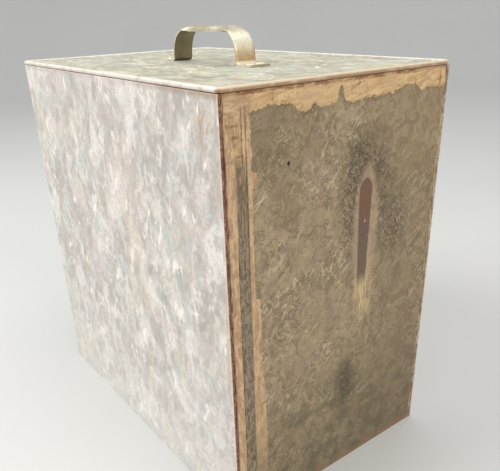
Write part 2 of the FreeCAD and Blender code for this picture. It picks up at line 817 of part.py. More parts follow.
def check():
    """Stops on a failed feature or a sub-part that isn't one or more sound solids."""
    doc.recompute()
    failed = [o.Name for o in doc.Objects if "Invalid" in o.State or "Error" in o.State]
    assert not failed, f"failed: {failed}"
    for thing in nodes:
        shape = thing.Shape
        assert not shape.isNull() and shape.isValid() and shape.Solids, f"{thing.Label} isn't sound"
        assert min(solid.Volume for solid in shape.Solids) > 0, f"{thing.Label} is inside out"


def export():
    os.makedirs("parts", exist_ok=True)
    for thing in nodes:
        thing.Shape.exportStep(os.path.join("parts", f"{thing.Label}.step"))
        bounds = thing.Shape.BoundBox
        print(
            f"{thing.Label:22s} {bounds.XLength:7.1f} {bounds.YLength:7.1f} {bounds.ZLength:7.1f}"
            f"  solids {len(thing.Shape.Solids)}  volume {thing.Shape.Volume / 1000:8.2f} cm3"
        )
    print(f"{len(nodes)} sub-parts")


def main():
    tack_drill = make_tacks("TackDrill", "drill_gap")
    rivet_drill = make_rivet_drill()
    make_side_wrap()
    make_end_panel()
    make_solder_seams()
    make_base_pan()
    make_felt_strip()
    make_cork()
    make_liner(tack_drill)
    make_breakers(tack_drill)
    keep(make_tacks("RimTacks", "0"), "rim_tacks")
    make_ledges()
    make_drain()
    make_stopper()
    make_lid_sheet(rivet_drill)
    make_lid_plug()
    make_handle(rivet_drill)
    make_backing_plates(rivet_drill)
    make_rivets()
    make_tray()
    make_ears()
    make_bail("bail_left", -1)
    make_bail("bail_right", 1)
    make_rack()
    check()
    export()


main()
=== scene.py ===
import math

import bmesh
import bpy
from mathutils import Euler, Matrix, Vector, noise


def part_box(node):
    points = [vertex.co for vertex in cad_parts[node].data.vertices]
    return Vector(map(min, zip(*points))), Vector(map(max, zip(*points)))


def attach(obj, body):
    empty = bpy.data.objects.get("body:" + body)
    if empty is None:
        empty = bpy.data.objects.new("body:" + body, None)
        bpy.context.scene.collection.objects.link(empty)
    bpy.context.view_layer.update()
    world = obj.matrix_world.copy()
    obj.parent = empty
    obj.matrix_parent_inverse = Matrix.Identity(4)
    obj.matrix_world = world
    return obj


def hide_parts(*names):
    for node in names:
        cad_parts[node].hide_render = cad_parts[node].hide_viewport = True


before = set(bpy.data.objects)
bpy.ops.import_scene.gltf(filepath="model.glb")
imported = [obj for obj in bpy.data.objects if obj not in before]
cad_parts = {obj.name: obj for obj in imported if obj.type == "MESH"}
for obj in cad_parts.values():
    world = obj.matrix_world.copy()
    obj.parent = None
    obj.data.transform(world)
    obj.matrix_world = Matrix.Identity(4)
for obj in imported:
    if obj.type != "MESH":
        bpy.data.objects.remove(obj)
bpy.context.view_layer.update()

# A galvanised icebox with a lift-off lid. Everything is in metres, in the frame of the CAD model:
# +Z up, the wide pale side faces -Y and the painted narrow end faces +X.

MM = 0.001
QUARTER = math.pi / 2


def mm(*values):
    """Several sizes in millimetres, as metres."""
    return tuple(value * MM for value in values)


# the corners of the CAD's pieces that the looks are built on
CASE_LOW, CASE_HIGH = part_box("side_wrap")
END_LOW, END_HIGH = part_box("end_panel")
FELT_LOW, FELT_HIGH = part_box("felt_strip")
LID_LOW, LID_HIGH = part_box("lid_sheet")
PAN_LOW, PAN_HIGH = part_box("lid_pan")
GASKET_LOW, GASKET_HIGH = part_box("lid_gasket")
HANDLE_LOW, HANDLE_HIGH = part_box("lid_handle")
RIVETS_LOW, RIVETS_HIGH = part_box("handle_rivets")
LINER_LOW, LINER_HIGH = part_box("liner")
TRAY_LOW, TRAY_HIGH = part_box("food_tray")
TUBE_LOW, TUBE_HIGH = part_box("drain_tube")
FLANGE_LOW, FLANGE_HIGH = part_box("drain_flange_outer")
STOPPER_LOW, STOPPER_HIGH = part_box("drain_stopper")

# sheet metal
GAUGE = 1 * MM
HEM = 2 * GAUGE
HEM_DEPTH = 10 * MM
LINER_RIM = 10 * MM
CORNER = 3 * MM
BEAD = 4.2 * MM
LID_CORNER = 5 * MM
STRAP = 2 * MM
HEIGHT = CASE_HIGH.z

# camera: where it stands, where it looks and how far it is turned about its own axis
CAMERA_AT = Vector((536.7, -354.8, 453.0)) * MM
CAMERA_TURN = 53.45
CAMERA_DIP = 25.80
CAMERA_ROLL = -1.94
CAMERA_LENS = 41.11
CAMERA_RISE = 0.10


# ---------------------------------------------------------------- meshes


class Surface:
    """Collects the points and faces of one mesh."""

    def __init__(self):
        self.points = []
        self.faces = []

    def add(self, point):
        self.points.append(Vector(point))
        return len(self.points) - 1

    def row(self, points):
        return [self.add(point) for point in points]

    def bridge(self, first, second, closed=False):
        """Quads between two rows of the same length."""
        for i in range(len(first) if closed else len(first) - 1):
            k = (i + 1) % len(first)
            self.faces.append((first[i], first[k], second[k], second[i]))

    def join(self, rows, closed=False):
        """Quads between each row and the next."""
        for first, second in zip(rows, rows[1:]):
            self.bridge(first, second, closed)

    def fan(self, centre, rim):
        for a, b in zip(rim, rim[1:]):
            self.faces.append((centre, a, b))

    def build(self, name, shift=None, sharp=40):
        """The finished object, with its points moved by shift and its edges sharp past an angle."""
        if shift:
            self.points = [point + shift(point) for point in self.points]
        mesh = bpy.data.meshes.new(name)
        mesh.from_pydata(self.points, [], self.faces)
        return finish_mesh(name, mesh, sharp)


def finish_mesh(name, mesh, sharp=40):
    work = bmesh.new()
    work.from_mesh(mesh)
    bmesh.ops.remove_doubles(work, verts=work.verts, dist=1e-6)
    bmesh.ops.recalc_face_normals(work, faces=work.faces)
    for face in work.faces:
        face.smooth = True
    for edge in work.edges:
        edge.smooth = len(edge.link_faces) == 2 and edge.calc_face_angle() < math.radians(sharp)
    work.to_mesh(mesh)
    work.free()
    made = bpy.data.objects.new(name, mesh)
    bpy.context.scene.collection.objects.link(made)
    return made


def piece(made, body, material, node):
    """Gives a mesh its material and its body, and hides the CAD node that it stands for."""
    made.data.materials.append(material)
    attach(made, body)
    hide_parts(node)


def smooth_step(value, low, high):
    share = min(max((value - low) / (high - low), 0), 1)
    return share * share * (3 - 2 * share)


def wobble(point, scale, seed=0):
    """Smooth noise from -1 to 1 whose features are about scale metres across."""
    return noise.noise(Vector(point) / scale + Vector((seed * 17.3, seed * 5.1, seed * 9.7)))


def rect_loop(half, radius, outset, z, cells, arc):
    """Points round a rounded rectangle whose outline is moved outwards by outset."""
    cx, cy = half[0] - radius, half[1] - radius
    reach = radius + outset
    sides = (
        ((-cx, -cy), (cx, -cy), cells[0]),
        ((cx, -cy), (cx, cy), cells[1]),
        ((cx, cy), (-cx, cy), cells[0]),
        ((-cx, cy), (-cx, -cy), cells[1]),
    )
    points = []
    for number, (start, end, steps) in enumerate(sides):
        facing = (number - 1) * QUARTER
        out = Vector((math.cos(facing), math.sin(facing))) * reach
        for i in range(steps + 1):
            at = Vector(start).lerp(Vector(end), i / steps) + out
            points.append((at.x, at.y, z))
        for k in range(1, arc):
            angle = facing + QUARTER * k / arc
            points.append((end[0] + math.cos(angle) * reach, end[1] + math.sin(angle) * reach, z))
    return points


def cap(surface, loop, half, radius, z, cells, arc):
    """Fills a loop made by rect_loop with a grid, strips along the sides and fans in the corners."""
    cx, cy = half[0] - radius, half[1] - radius
    nx, ny = cells
    grid = [
        surface.row([(-cx + 2 * cx * i / nx, -cy + 2 * cy * j / ny, z) for i in range(nx + 1)])
        for j in range(ny + 1)
    ]
    surface.join(grid)
    borders = (
        grid[0],
        [line[-1] for line in grid],
        grid[-1][::-1],
        [line[0] for line in grid][::-1],
    )
    at = 0
    for border in borders:
        steps = len(border)
        surface.bridge(loop[at : at + steps], border)
        surface.fan(border[-1], [loop[(at + steps - 1 + k) % len(loop)] for k in range(arc + 1)])
        at += steps + arc - 1


def swept(surface, half, radius, profile, cells, arc):
    """Rows of points for each (outset, z) of a profile, joined into a wall."""
    rows = [surface.row(rect_loop(half, radius, outset, z, cells, arc)) for outset, z in profile]
    surface.join(rows, closed=True)
    return rows


def arc_points(centre, radius, start, end, steps):
    """Profile points on an arc, with angles in quarter turns from outwards, towards up."""
    angles = [(start + (end - start) * i / steps) * QUARTER for i in range(steps + 1)]
    return [(centre[0] + math.cos(a) * radius, centre[1] + math.sin(a) * radius) for a in angles]


def cells_for(half, size):
    return tuple(max(2, round(2 * side / size)) for side in half)


def pan(name, half, radius, low, rim, foot=3 * MM, shift=None, cell=14 * MM, arc=5):
    """A sheet-metal pan: outer floor and wall, a rim profile, inner wall and floor."""
    cells = cells_for(half, cell)
    outer = arc_points((-foot, low + foot), foot, -1, 0, 4)
    inner = arc_points((-foot, low + foot), foot - GAUGE, 0, -1, 4)
    surface = Surface()
    rows = swept(surface, half, radius, outer + rim + inner, cells, arc)
    cap(surface, rows[0], half, radius, low, cells, arc)
    cap(surface, rows[-1], half, radius, low + GAUGE, cells, arc)
    return surface.build(name, shift)


def rim_of(grid):
    """The points round a grid's edge: its first row, its right side, its last row and its left side."""
    left, right = [row[0] for row in grid], [row[-1] for row in grid]
    return grid[0][:-1] + right[:-1] + grid[-1][:0:-1] + left[:0:-1]


def bent_sheet(name, path, low, high, thickness, dent, step=6 * MM):
    """A closed sheet whose section follows path, a list of (point, normal), with a folded edge all round."""
    edge = HEM / 2
    rows_up = round((high - low) / step)
    heights = [low + edge + (high - low - 2 * edge) * j / rows_up for j in range(rows_up + 1)]
    lengths = [0]
    for (a, _), (b, _) in zip(path, path[1:]):
        lengths.append(lengths[-1] + (b - a).length)
    surface = Surface()
    outer, inner = [], []
    for z in heights:
        outside, inside = [], []
        for (at, normal), along in zip(path, lengths):
            at3, normal3 = Vector((at.x, at.y, z)), Vector((normal.x, normal.y, 0))
            border = min(along, lengths[-1] - along, z - low, high - z)
            base = at3 - normal3 * dent(at3, border)
            outside.append(base)
            inside.append(base - normal3 * thickness(border))
        outer.append(surface.row(outside))
        inner.append(surface.row(inside))
    surface.join(outer)
    surface.join(inner)
    start = (path[0][0] - path[1][0]).normalized()
    end = (path[-1][0] - path[-2][0]).normalized()

    def outward(i, j):
        way = Vector((0, 0, 0))
        if j == 0 or j == rows_up:
            way.z = -1 if j == 0 else 1
        if i == 0:
            way += Vector((start.x, start.y, 0))
        if i == len(path) - 1:
            way += Vector((end.x, end.y, 0))
        return way

    columns = len(path)
    places = (
        [(i, 0) for i in range(columns - 1)]
        + [(columns - 1, j) for j in range(rows_up)]
        + [(i, rows_up) for i in range(columns - 1, 0, -1)]
        + [(0, j) for j in range(rows_up, 0, -1)]
    )
    outer_ring, inner_ring = rim_of(outer), rim_of(inner)
    previous = outer_ring
    for angle in (30, 60, 90, 120, 150):
        turn = math.radians(angle)
        points = []
        for (i, j), a, b in zip(places, outer_ring, inner_ring):
            middle = (surface.points[a] + surface.points[b]) / 2
            half = (surface.points[a] - surface.points[b]) / 2
            points.append(middle + half * math.cos(turn) + outward(i, j) * edge * math.sin(turn))
        current = surface.row(points)
        surface.bridge(previous, current, closed=True)
        previous = current
    surface.bridge(previous, inner_ring, closed=True)
    return surface.build(name)


def plank(name, low, high, bevel, seed):
    """A sawn board with eased edges and a slightly uneven surface."""
    size, middle = high - low, (low + high) / 2
    work = bmesh.new()
    bmesh.ops.create_cube(work, size=1)
    bmesh.ops.scale(work, vec=size, verts=work.verts)
    bmesh.ops.bevel(work, geom=work.edges[:], offset=bevel, segments=3, profile=0.6, affect="EDGES")
    longest = max(range(3), key=lambda axis: size[axis])
    long_edges = [
        edge
        for edge in work.edges
        if abs((edge.verts[0].co - edge.verts[1].co)[longest]) > size[longest] * 0.7
    ]
    bmesh.ops.subdivide_edges(work, edges=long_edges, cuts=24, use_grid_fill=True)
    for vertex in work.verts:
        at = vertex.co + middle
        inwards = Vector([-math.copysign(1, value) for value in vertex.co])
        vertex.co = at + inwards * (0.25 * MM * abs(wobble(at, 22 * MM, seed)))
    mesh = bpy.data.meshes.new(name)
    work.to_mesh(mesh)
    work.free()
    return finish_mesh(name, mesh, 50)


def turned(surface, profile, steps, place):
    """Rows of points round an axis, where place gives the point for a radius, a height and an angle."""
    angles = [2 * math.pi * k / steps for k in range(steps)]
    return [surface.row([place(radius, height, angle) for angle in angles]) for radius, height in profile]


def lathe(surface, profile, origin, axis, side, steps=40):
    """A solid turned about an axis from (radius, height) pairs, closed at both ends."""
    origin, axis, side = Vector(origin), Vector(axis), Vector(side)
    other = axis.cross(side)

    def place(radius, height, angle):
        return origin + axis * height + (side * math.cos(angle) + other * math.sin(angle)) * radius

    rows = turned(surface, profile, steps, place)
    surface.join(rows, closed=True)
    for row, (_, height) in ((rows[0], profile[0]), (rows[-1], profile[-1])):
        surface.fan(surface.add(origin + axis * height), row + row[:1])


# ---------------------------------------------------------------- materials


def linear(colour):
    """A colour's display values, 0 to 255, as the linear values that shaders take."""
    shares = [value / 255 for value in colour]
    return (*(x / 12.92 if x <= 0.04045 else ((x + 0.055) / 1.055) ** 2.4 for x in shares), 1)


class Value:
    """What one node gives. Arithmetic on it adds the nodes that work it out."""

    def __init__(self, shade, socket):
        self.shade, self.socket = shade, socket

    def __add__(self, other):
        return self.shade.math("ADD", self, other)

    def __sub__(self, other):
        return self.shade.math("SUBTRACT", self, other)

    def __rsub__(self, other):
        return self.shade.math("SUBTRACT", other, self)

    def __mul__(self, other):
        return self.shade.math("MULTIPLY", self, other)

    def __truediv__(self, other):
        return self.shade.math("DIVIDE", self, other)

    def __abs__(self):
        return self.shade.math("ABSOLUTE", self)

    def step(self, low, high, start=0.0, end=1.0):
        """The value mapped smoothly from low..high to start..end, and held beyond."""
        inputs = {"Value": self, "From Min": low, "From Max": high, "To Min": start, "To Max": end}
        mapped = self.shade.node("ShaderNodeMapRange", inputs, interpolation_type="SMOOTHSTEP")
        return Value(self.shade, mapped.outputs["Result"])

    def fall(self, low, high):
        """1 below low, falling to 0 above high."""
        return self.step(low, high, 1.0, 0.0)

    def band(self, low, high, soft):
        """1 between low and high and 0 outside them, with soft edges."""
        return self.step(low - soft, low + soft) * self.fall(high - soft, high + soft)


class Shade:
    """Builds one node material: tints are painted one over another, then finish makes the shader."""

    def __init__(self, name):
        self.material = bpy.data.materials.new(name)
        self.material.use_nodes = True
        self.tree = self.material.node_tree
        self.tree.nodes.clear()
        self.coords = self.node("ShaderNodeTexCoord").outputs["Object"]
        self.colour = None

    def node(self, kind, inputs=(), **settings):
        made = self.tree.nodes.new(kind)
        for key, value in settings.items():
            setattr(made, key, value)
        for key, value in dict(inputs).items():
            if isinstance(value, Value):
                value = value.socket
            if isinstance(value, bpy.types.NodeSocket):
                self.tree.links.new(value, made.inputs[key])
            else:
                made.inputs[key].default_value = value
        return made

    def math(self, operation, *values):
        return Value(self, self.node("ShaderNodeMath", enumerate(values), operation=operation).outputs[0])

    def either(self, first, *others):
        """The largest of several values."""
        for other in others:
            first = self.math("MAXIMUM", first, other)
        return first

    def mix(self, low, high, share):
        """Two colours mixed. Each is a value, or a tuple of display values."""
        low, high = (linear(colour) if isinstance(colour, tuple) else colour for colour in (low, high))
        mixed = self.node("ShaderNodeMix", {0: share, 6: low, 7: high}, data_type="RGBA")
        return Value(self, mixed.outputs[2])

    def paint(self, tint, share):
        """Lays a tint over the colour so far."""
        self.colour = self.mix(self.colour, tint, share)

    def field(self, size, turn=(0, 0, 0), detail=4.0, rough=0.55, distort=0.0, coords=None):
        """Noise from 0 to 1 whose features are size metres long on each axis, once the axes are turned."""
        where = {"Vector": coords or self.coords, "Rotation": turn, "Scale": size}
        placed = self.node("ShaderNodeMapping", where, vector_type="TEXTURE").outputs["Vector"]
        inputs = {"Vector": placed, "Scale": 1.0, "Detail": detail, "Roughness": rough}
        noisy = self.node("ShaderNodeTexNoise", {**inputs, "Distortion": distort})
        return Value(self, noisy.outputs["Fac"])

    def even(self, size, **how):
        """Noise with features of one size on all axes."""
        return self.field((size, size, size), **how)

    def marks(self, size, turn, low, high, coords=None):
        """Separate flecks or strokes: 1 where the noise is above high, 0 where it is below low."""
        return self.field(size, turn, 2.0, 0.5, 0.3, coords).step(low, high)

    def ridges(self, size, turn, width, coords=None):
        """Thin curved lines that wind through the noise."""
        return abs(self.field(size, turn, 1.0, 0.4, 0.5, coords) - 0.5).fall(width, 2.4 * width)

    def offset(self, vector, amount, scale):
        """vector moved about by noise of a given scale, up to amount metres."""
        noisy = self.node("ShaderNodeTexNoise", {"Vector": vector, "Scale": scale, "Detail": 2.0})
        shift = noisy.outputs["Color"]
        centre, size = {1: (0.5, 0.5, 0.5)}, {"Scale": amount}
        for operation, other in (("SUBTRACT", centre), ("SCALE", size), ("ADD", {1: vector})):
            shift = self.node("ShaderNodeVectorMath", {0: shift, **other}, operation=operation).outputs[0]
        return shift

    def parts(self, vector=None):
        made = self.node("ShaderNodeSeparateXYZ", {0: vector or self.coords})
        return [Value(self, socket) for socket in made.outputs]

    def flakes(self, coords, size):
        """Random x, y and z for each cell of a given size."""
        placed = self.node("ShaderNodeMapping", {"Vector": coords, "Scale": (1 / size, 1 / size, 1 / size)})
        cells = {"Vector": placed.outputs["Vector"], "Scale": 1.0}
        return self.parts(self.node("ShaderNodeTexVoronoi", cells, feature="F1").outputs["Color"])

    def spot(self, across, up, middle, reach, soft=0.4):
        """An oval patch, 1 in its middle and 0 outside it."""
        a, b = (across - middle[0]) / reach[0], (up - middle[1]) / reach[1]
        return self.math("SQRT", a * a + b * b).fall(1 - soft, 1 + soft)

    def line(self, across, up, start, end, width):
        """A straight scratch from start to end, fading at its edges."""
        run, rise = end[0] - start[0], end[1] - start[1]
        length = math.hypot(run, rise)
        a, b = across - start[0], up - start[1]
        along, aside = a * (run / length) + b * (rise / length), a * (-rise / length) + b * (run / length)
        return aside.band(-width / 2, width / 2, 0.4 * width) * along.band(0, length, 2 * MM)

    def finish(self, rough, metal=0.0, height=0.5, depth=0.2 * MM):
        """The shader, with the painted colour. height drives the bump."""
        inputs = {"Base Color": self.colour, "Roughness": rough, "Metallic": metal}
        bump = {"Height": height, "Distance": depth, "Strength": 1.0}
        inputs["Normal"] = self.node("ShaderNodeBump", bump).outputs["Normal"]
        shader = self.node("ShaderNodeBsdfPrincipled", inputs)
        self.node("ShaderNodeOutputMaterial", {"Surface": shader.outputs[0]})
        return self.material


def spangle(shade, size):
    """Crystal flakes of zinc: each has its own grey, and a second random value per flake comes back with the
    tone.
    """
    warped = shade.offset(shade.coords, 0.5 * size, 0.9 / size)
    tone, fine = shade.flakes(warped, size), shade.flakes(warped, size / 2.3)
    clouds = shade.even(1.4 * size, detail=5.0, rough=0.6, distort=0.8)
    return tone[0] * 0.3 + fine[0] * 0.15 + clouds * 0.55, tone[2]


def galvanised(name, dark, light, tints, size=13 * MM, rough=0.5, metal=0.35):
    """Weathered zinc: flakes between two greys, broad tints and fine wear."""
    shade = Shade(name)
    flakes, hue = spangle(shade, size)
    shade.colour = shade.mix(dark, light, flakes.step(0.28, 0.72))
    for number, (tint, strength) in enumerate(tints):
        cloud = shade.even((70 - 12 * number) * MM, detail=3.0, rough=0.6, distort=0.6)
        patch = cloud.step(0.48, 0.7) * strength
        shade.paint(tint, patch * hue.step(0.0, 1.0, 0.6, 1.0))
    wear = shade.even(2.2 * MM, detail=3.0, rough=0.7)
    shade.paint(dark, wear.step(0.52, 0.75) * 0.3)
    roughness = flakes.step(0.1, 0.9, rough + 0.1, rough - 0.08)
    height = flakes * 0.35 + wear * 0.5
    return shade.finish(roughness, metal, height, 0.1 * MM)


def wall_material():
    """The wrap: chalky pale zinc with slanted streaks and flecks, faint rose, green and cream tints."""
    shade = Shade("wall_galvanised")
    x, y, z = shade.parts()
    bent = shade.offset(shade.coords, 9 * MM, 32.0)
    slant = (0, 0.14, 0)
    clouds = shade.field(mm(15, 15, 24), slant, 6.0, 0.64, 1.2, bent)
    hairs = shade.field(mm(1.7, 1.7, 15), slant, 3.0, 0.62, 0.0, bent)
    grain = shade.even(1.3 * MM, detail=2.0, rough=0.6)
    tone = clouds * 0.8 + hairs * 0.2
    shade.colour = shade.mix((180, 173, 166), (226, 220, 213), tone.step(0.37, 0.62))
    for size, tint, low, strength in (
        (60 * MM, (214, 199, 198), 0.47, 0.50),
        (46 * MM, (197, 206, 203), 0.49, 0.55),
        (52 * MM, (222, 212, 192), 0.50, 0.45),
        (32 * MM, (176, 171, 166), 0.52, 0.60),
    ):
        cloud = shade.field((size, size, 1.2 * size), slant, 4.0, 0.6, 1.2, bent)
        shade.paint(tint, cloud.step(low, low + 0.14) * strength)
    broad = shade.field(mm(34, 34, 46), slant, 3.0, 0.55, 0.8, bent)
    shade.paint((242, 237, 231), broad.step(0.52, 0.66, 0.0, 0.6))
    shade.paint((176, 170, 164), broad.step(0.46, 0.34, 0.0, 0.5))
    patchy = shade.even(42 * MM, detail=2.0).step(0.44, 0.6, 0.1, 1.0)
    sponged = shade.even(3.6 * MM, detail=3.0, rough=0.65).step(0.5, 0.66)
    shade.paint((170, 162, 154), sponged * 0.4)
    for turn, size, low in ((0.35, mm(9, 9, 24), 0.58), (-0.5, mm(7, 7, 15), 0.61)):
        flecks = shade.marks(size, (0, turn, 0), low, low + 0.11, bent)
        shade.paint((248, 242, 235), flecks * patchy * 0.9)
    dusk = shade.marks(mm(12, 12, 18), (0, -0.5, 0), 0.56, 0.7, bent)
    shade.paint((166, 160, 154), dusk * 0.35)
    shade.paint((168, 160, 152), hairs.step(0.56, 0.72) * 0.35)
    shade.paint((240, 236, 231), hairs.step(0.44, 0.3) * 0.35)
    low_down = z.step(0.0, 0.42 * HEIGHT, 0.35, 0.0)
    shade.paint((238, 236, 231), low_down)

    # on the front: cream down the middle, a tan strip by the far corner and drips by the seam; all round,
    # painted brown shade along the top under the lid
    front = y.fall(CASE_LOW.y + 4 * MM, CASE_LOW.y + 8 * MM)
    runs = shade.field(mm(5, 5, 60), slant, 5.0, 0.62, 0.4, bent)
    centre = x.band(26 * MM, 54 * MM, 22 * MM) * z.band(130 * MM, 350 * MM, 60 * MM)
    cream = front * centre * runs.step(0.42, 0.62) * 0.6
    shade.paint((228, 210, 184), cream)
    drips = shade.spot(x, z, (CASE_HIGH.x - 25 * MM, 0.93 * HEIGHT), mm(17, 30), 0.5)
    thin_runs = shade.field(mm(2.6, 2.6, 24), slant, 4.0, 0.65, 0.4, bent)
    shade.paint((186, 150, 112), front * drips * thin_runs.step(0.48, 0.62) * 0.7)
    near_seam = x.step(CASE_HIGH.x - 20 * MM, CASE_HIGH.x - 5 * MM)
    edge_runs = near_seam * runs.step(0.46, 0.6) * 0.45
    shade.paint((196, 172, 146), edge_runs)
    far_strip = x.band(CASE_LOW.x + 13 * MM, CASE_LOW.x + 20 * MM, 3 * MM)
    shade.paint((214, 206, 178), far_strip * front * 0.4)
    # painted shade under the lid's bead along the top of the wrap, stronger towards the seam
    ragged = shade.even(7 * MM, detail=3.0) * (6 * MM) + z
    shaded = ragged.step(HEIGHT - 3 * MM, HEIGHT + 2 * MM)
    toward_seam = x.step(0.0, CASE_HIGH.x, 0.2, 0.7)
    shade.paint((158, 130, 114), shaded * toward_seam)

    wavy = shade.offset(shade.coords, 2 * MM, 60.0)
    wavy_x, _, wavy_z = shade.parts(wavy)
    scratch = shade.line(wavy_x, wavy_z, mm(-150, 174), mm(-78, 136), 1.0 * MM)
    shade.paint((140, 134, 128), scratch * front * 0.5)

    # the folded edges beside the painted end: a painted highlight line along the fold, then rust
    highlight_line = x.band(CASE_HIGH.x - 2.2 * MM, CASE_HIGH.x - 1.2 * MM, 0.6 * MM)
    shade.paint((240, 226, 214), highlight_line * 0.5)
    fold = x.step(CASE_HIGH.x - 1.0 * MM, CASE_HIGH.x - 0.5 * MM)
    at_front = y.fall(0.0, 10 * MM)
    mottle = shade.even(3 * MM, detail=3.0, rough=0.7)
    rust = shade.mix((104, 64, 50), (160, 120, 96), mottle.step(0.4, 0.62))
    pale_rust = shade.mix((150, 128, 106), (206, 190, 166), mottle.step(0.4, 0.65))
    shade.paint(shade.mix(pale_rust, rust, at_front), fold)
    roughness = tone.step(0.36, 0.62, 0.66, 0.5)
    height = clouds * 0.5 + hairs * 0.35 + grain * 0.3
    return shade.finish(roughness, 0.15, height, 0.16 * MM)


def tin_ground(shade):
    """The dulled zinc of the narrow end: brown greys, olive and rosy clouds, and pale and dark strokes."""
    bent = shade.offset(shade.coords, 6 * MM, 80.0)
    clouds = shade.even(12 * MM, detail=6.0, rough=0.66, distort=1.2)
    shade.colour = shade.mix((128, 112, 86), (174, 154, 123), clouds.step(0.36, 0.63))
    for size, tint, low, strength in (
        (36 * MM, (160, 138, 118), 0.48, 0.55),
        (27 * MM, (148, 134, 94), 0.50, 0.50),
        (42 * MM, (124, 108, 82), 0.50, 0.50),
    ):
        cloud = shade.even(size, detail=4.0, rough=0.6, distort=1.2)
        shade.paint(tint, cloud.step(low, low + 0.15) * strength)
    patchy = shade.even(30 * MM, detail=2.0).step(0.42, 0.62, 0.12, 1.0)
    for turn, size, tint, low, strength in (
        (-0.75, mm(5, 3.4, 10), (202, 185, 154), 0.55, 0.75),
        (0.55, mm(5, 3.0, 9), (196, 178, 146), 0.57, 0.65),
        (-0.9, mm(5, 1.4, 5), (98, 84, 60), 0.57, 0.60),
        (0.8, mm(5, 1.4, 5), (100, 86, 62), 0.58, 0.55),
    ):
        strokes = shade.marks(size, (turn, 0, 0), low, low + 0.09, bent)
        shade.paint(tint, strokes * patchy * strength)
    creases = shade.ridges(mm(6, 3.5, 6), (0.6, 0, 0), 0.012, bent)
    shade.paint((96, 82, 60), creases * patchy * 0.3)
    grain = shade.even(1.2 * MM, detail=3.0, rough=0.7)
    shade.paint((96, 82, 60), grain.step(0.5, 0.7) * 0.45)
    shade.paint((200, 184, 154), grain.step(0.46, 0.3) * 0.45)
    return clouds, grain


def rust_stain(shade, y, z, clouds, grain):
    """The rust stain, the pale ring round it, the sooty strokes beyond, and the runs below."""
    curved = shade.offset(shade.coords, 5 * MM, 120.0)
    one_way = shade.ridges(mm(5, 2.6, 7), (0.75, 0, 0), 0.03, curved)
    other_way = shade.ridges(mm(5, 2.6, 7), (-0.75, 0, 0), 0.03, curved)
    strokes = shade.either(one_way, other_way * shade.even(9 * MM).step(0.48, 0.52))
    halo = shade.spot(y, z, mm(27, 297), mm(35, 58), 0.35)
    right_soot = shade.spot(y, z, mm(66, 262), mm(20, 32), 0.6)
    ring = shade.spot(y, z, mm(29, 262), mm(16, 62), 0.22)
    beyond = 1.0 - ring
    crown = shade.spot(y, z, mm(17, 337), mm(21, 15), 0.6)
    smudge = shade.spot(y, z, mm(11, 104), mm(13, 30), 0.8)
    soot = shade.either(
        halo * beyond * strokes * 0.85,
        right_soot * beyond * strokes * 0.75,
        halo * beyond * 0.22,
        crown * strokes.step(0.0, 1.0, 0.42, 0.95),
        smudge * strokes.step(0.0, 1.0, 0.55, 0.95),
    )
    shade.paint((72, 62, 44), soot)
    shade.paint((172, 148, 124), ring * clouds.step(0.4, 0.6, 0.3, 0.7))
    streaks = shade.field(mm(4, 2, 22), detail=3.0)
    yellow = shade.spot(y, z, mm(31, 203), mm(12, 32), 0.6)
    shade.paint((208, 184, 136), yellow * streaks.step(0.38, 0.6, 0.1, 0.85))
    narrow = z.step(215 * MM, 300 * MM, 6.0 * MM, 8.0 * MM)
    across = abs(y - 26.5 * MM)
    rounded = z + across * across * 110.0
    within = (across - narrow).fall(-0.9 * MM, 0.9 * MM)
    core = within * z.step(206 * MM, 224 * MM) * rounded.fall(314 * MM, 317 * MM)
    rust = shade.mix((92, 74, 60), (100, 68, 46), z.step(262 * MM, 292 * MM))
    shade.paint(rust, core * grain.step(0.3, 0.7, 0.97, 0.82))
    return soot, core


# the height of the old paint's edge across the end, from the near corner to the far one
PAINT_EDGE = (
    (0.0, 0.3), (0.10, 0.33), (0.18, 0.51), (0.24, 0.47), (0.30, 0.12), (0.33, 0.10), (0.35, 0.30),
    (0.37, 0.16), (0.42, 0.12), (0.45, 0.50), (0.463, 0.86), (0.475, 0.50), (0.50, 0.17), (0.58, 0.24),
    (0.71, 0.27), (0.74, 0.40), (0.81, 0.50), (0.86, 0.22), (0.91, 0.24), (1.0, 0.15),
)


def paint_edge(shade, y):
    """The height down to which the old paint still holds along the top."""
    share = (y - CASE_LOW.y) / (CASE_HIGH.y - CASE_LOW.y)
    curve = shade.node("ShaderNodeFloatCurve", {"Value": share})
    points = curve.mapping.curves[0].points
    points[0].location, points[1].location = PAINT_EDGE[0], PAINT_EDGE[-1]
    for place in PAINT_EDGE[1:-1]:
        points.new(*place)
    curve.mapping.update()
    return Value(shade, curve.outputs[0]) * (20 * MM) + (HEIGHT - 22 * MM)


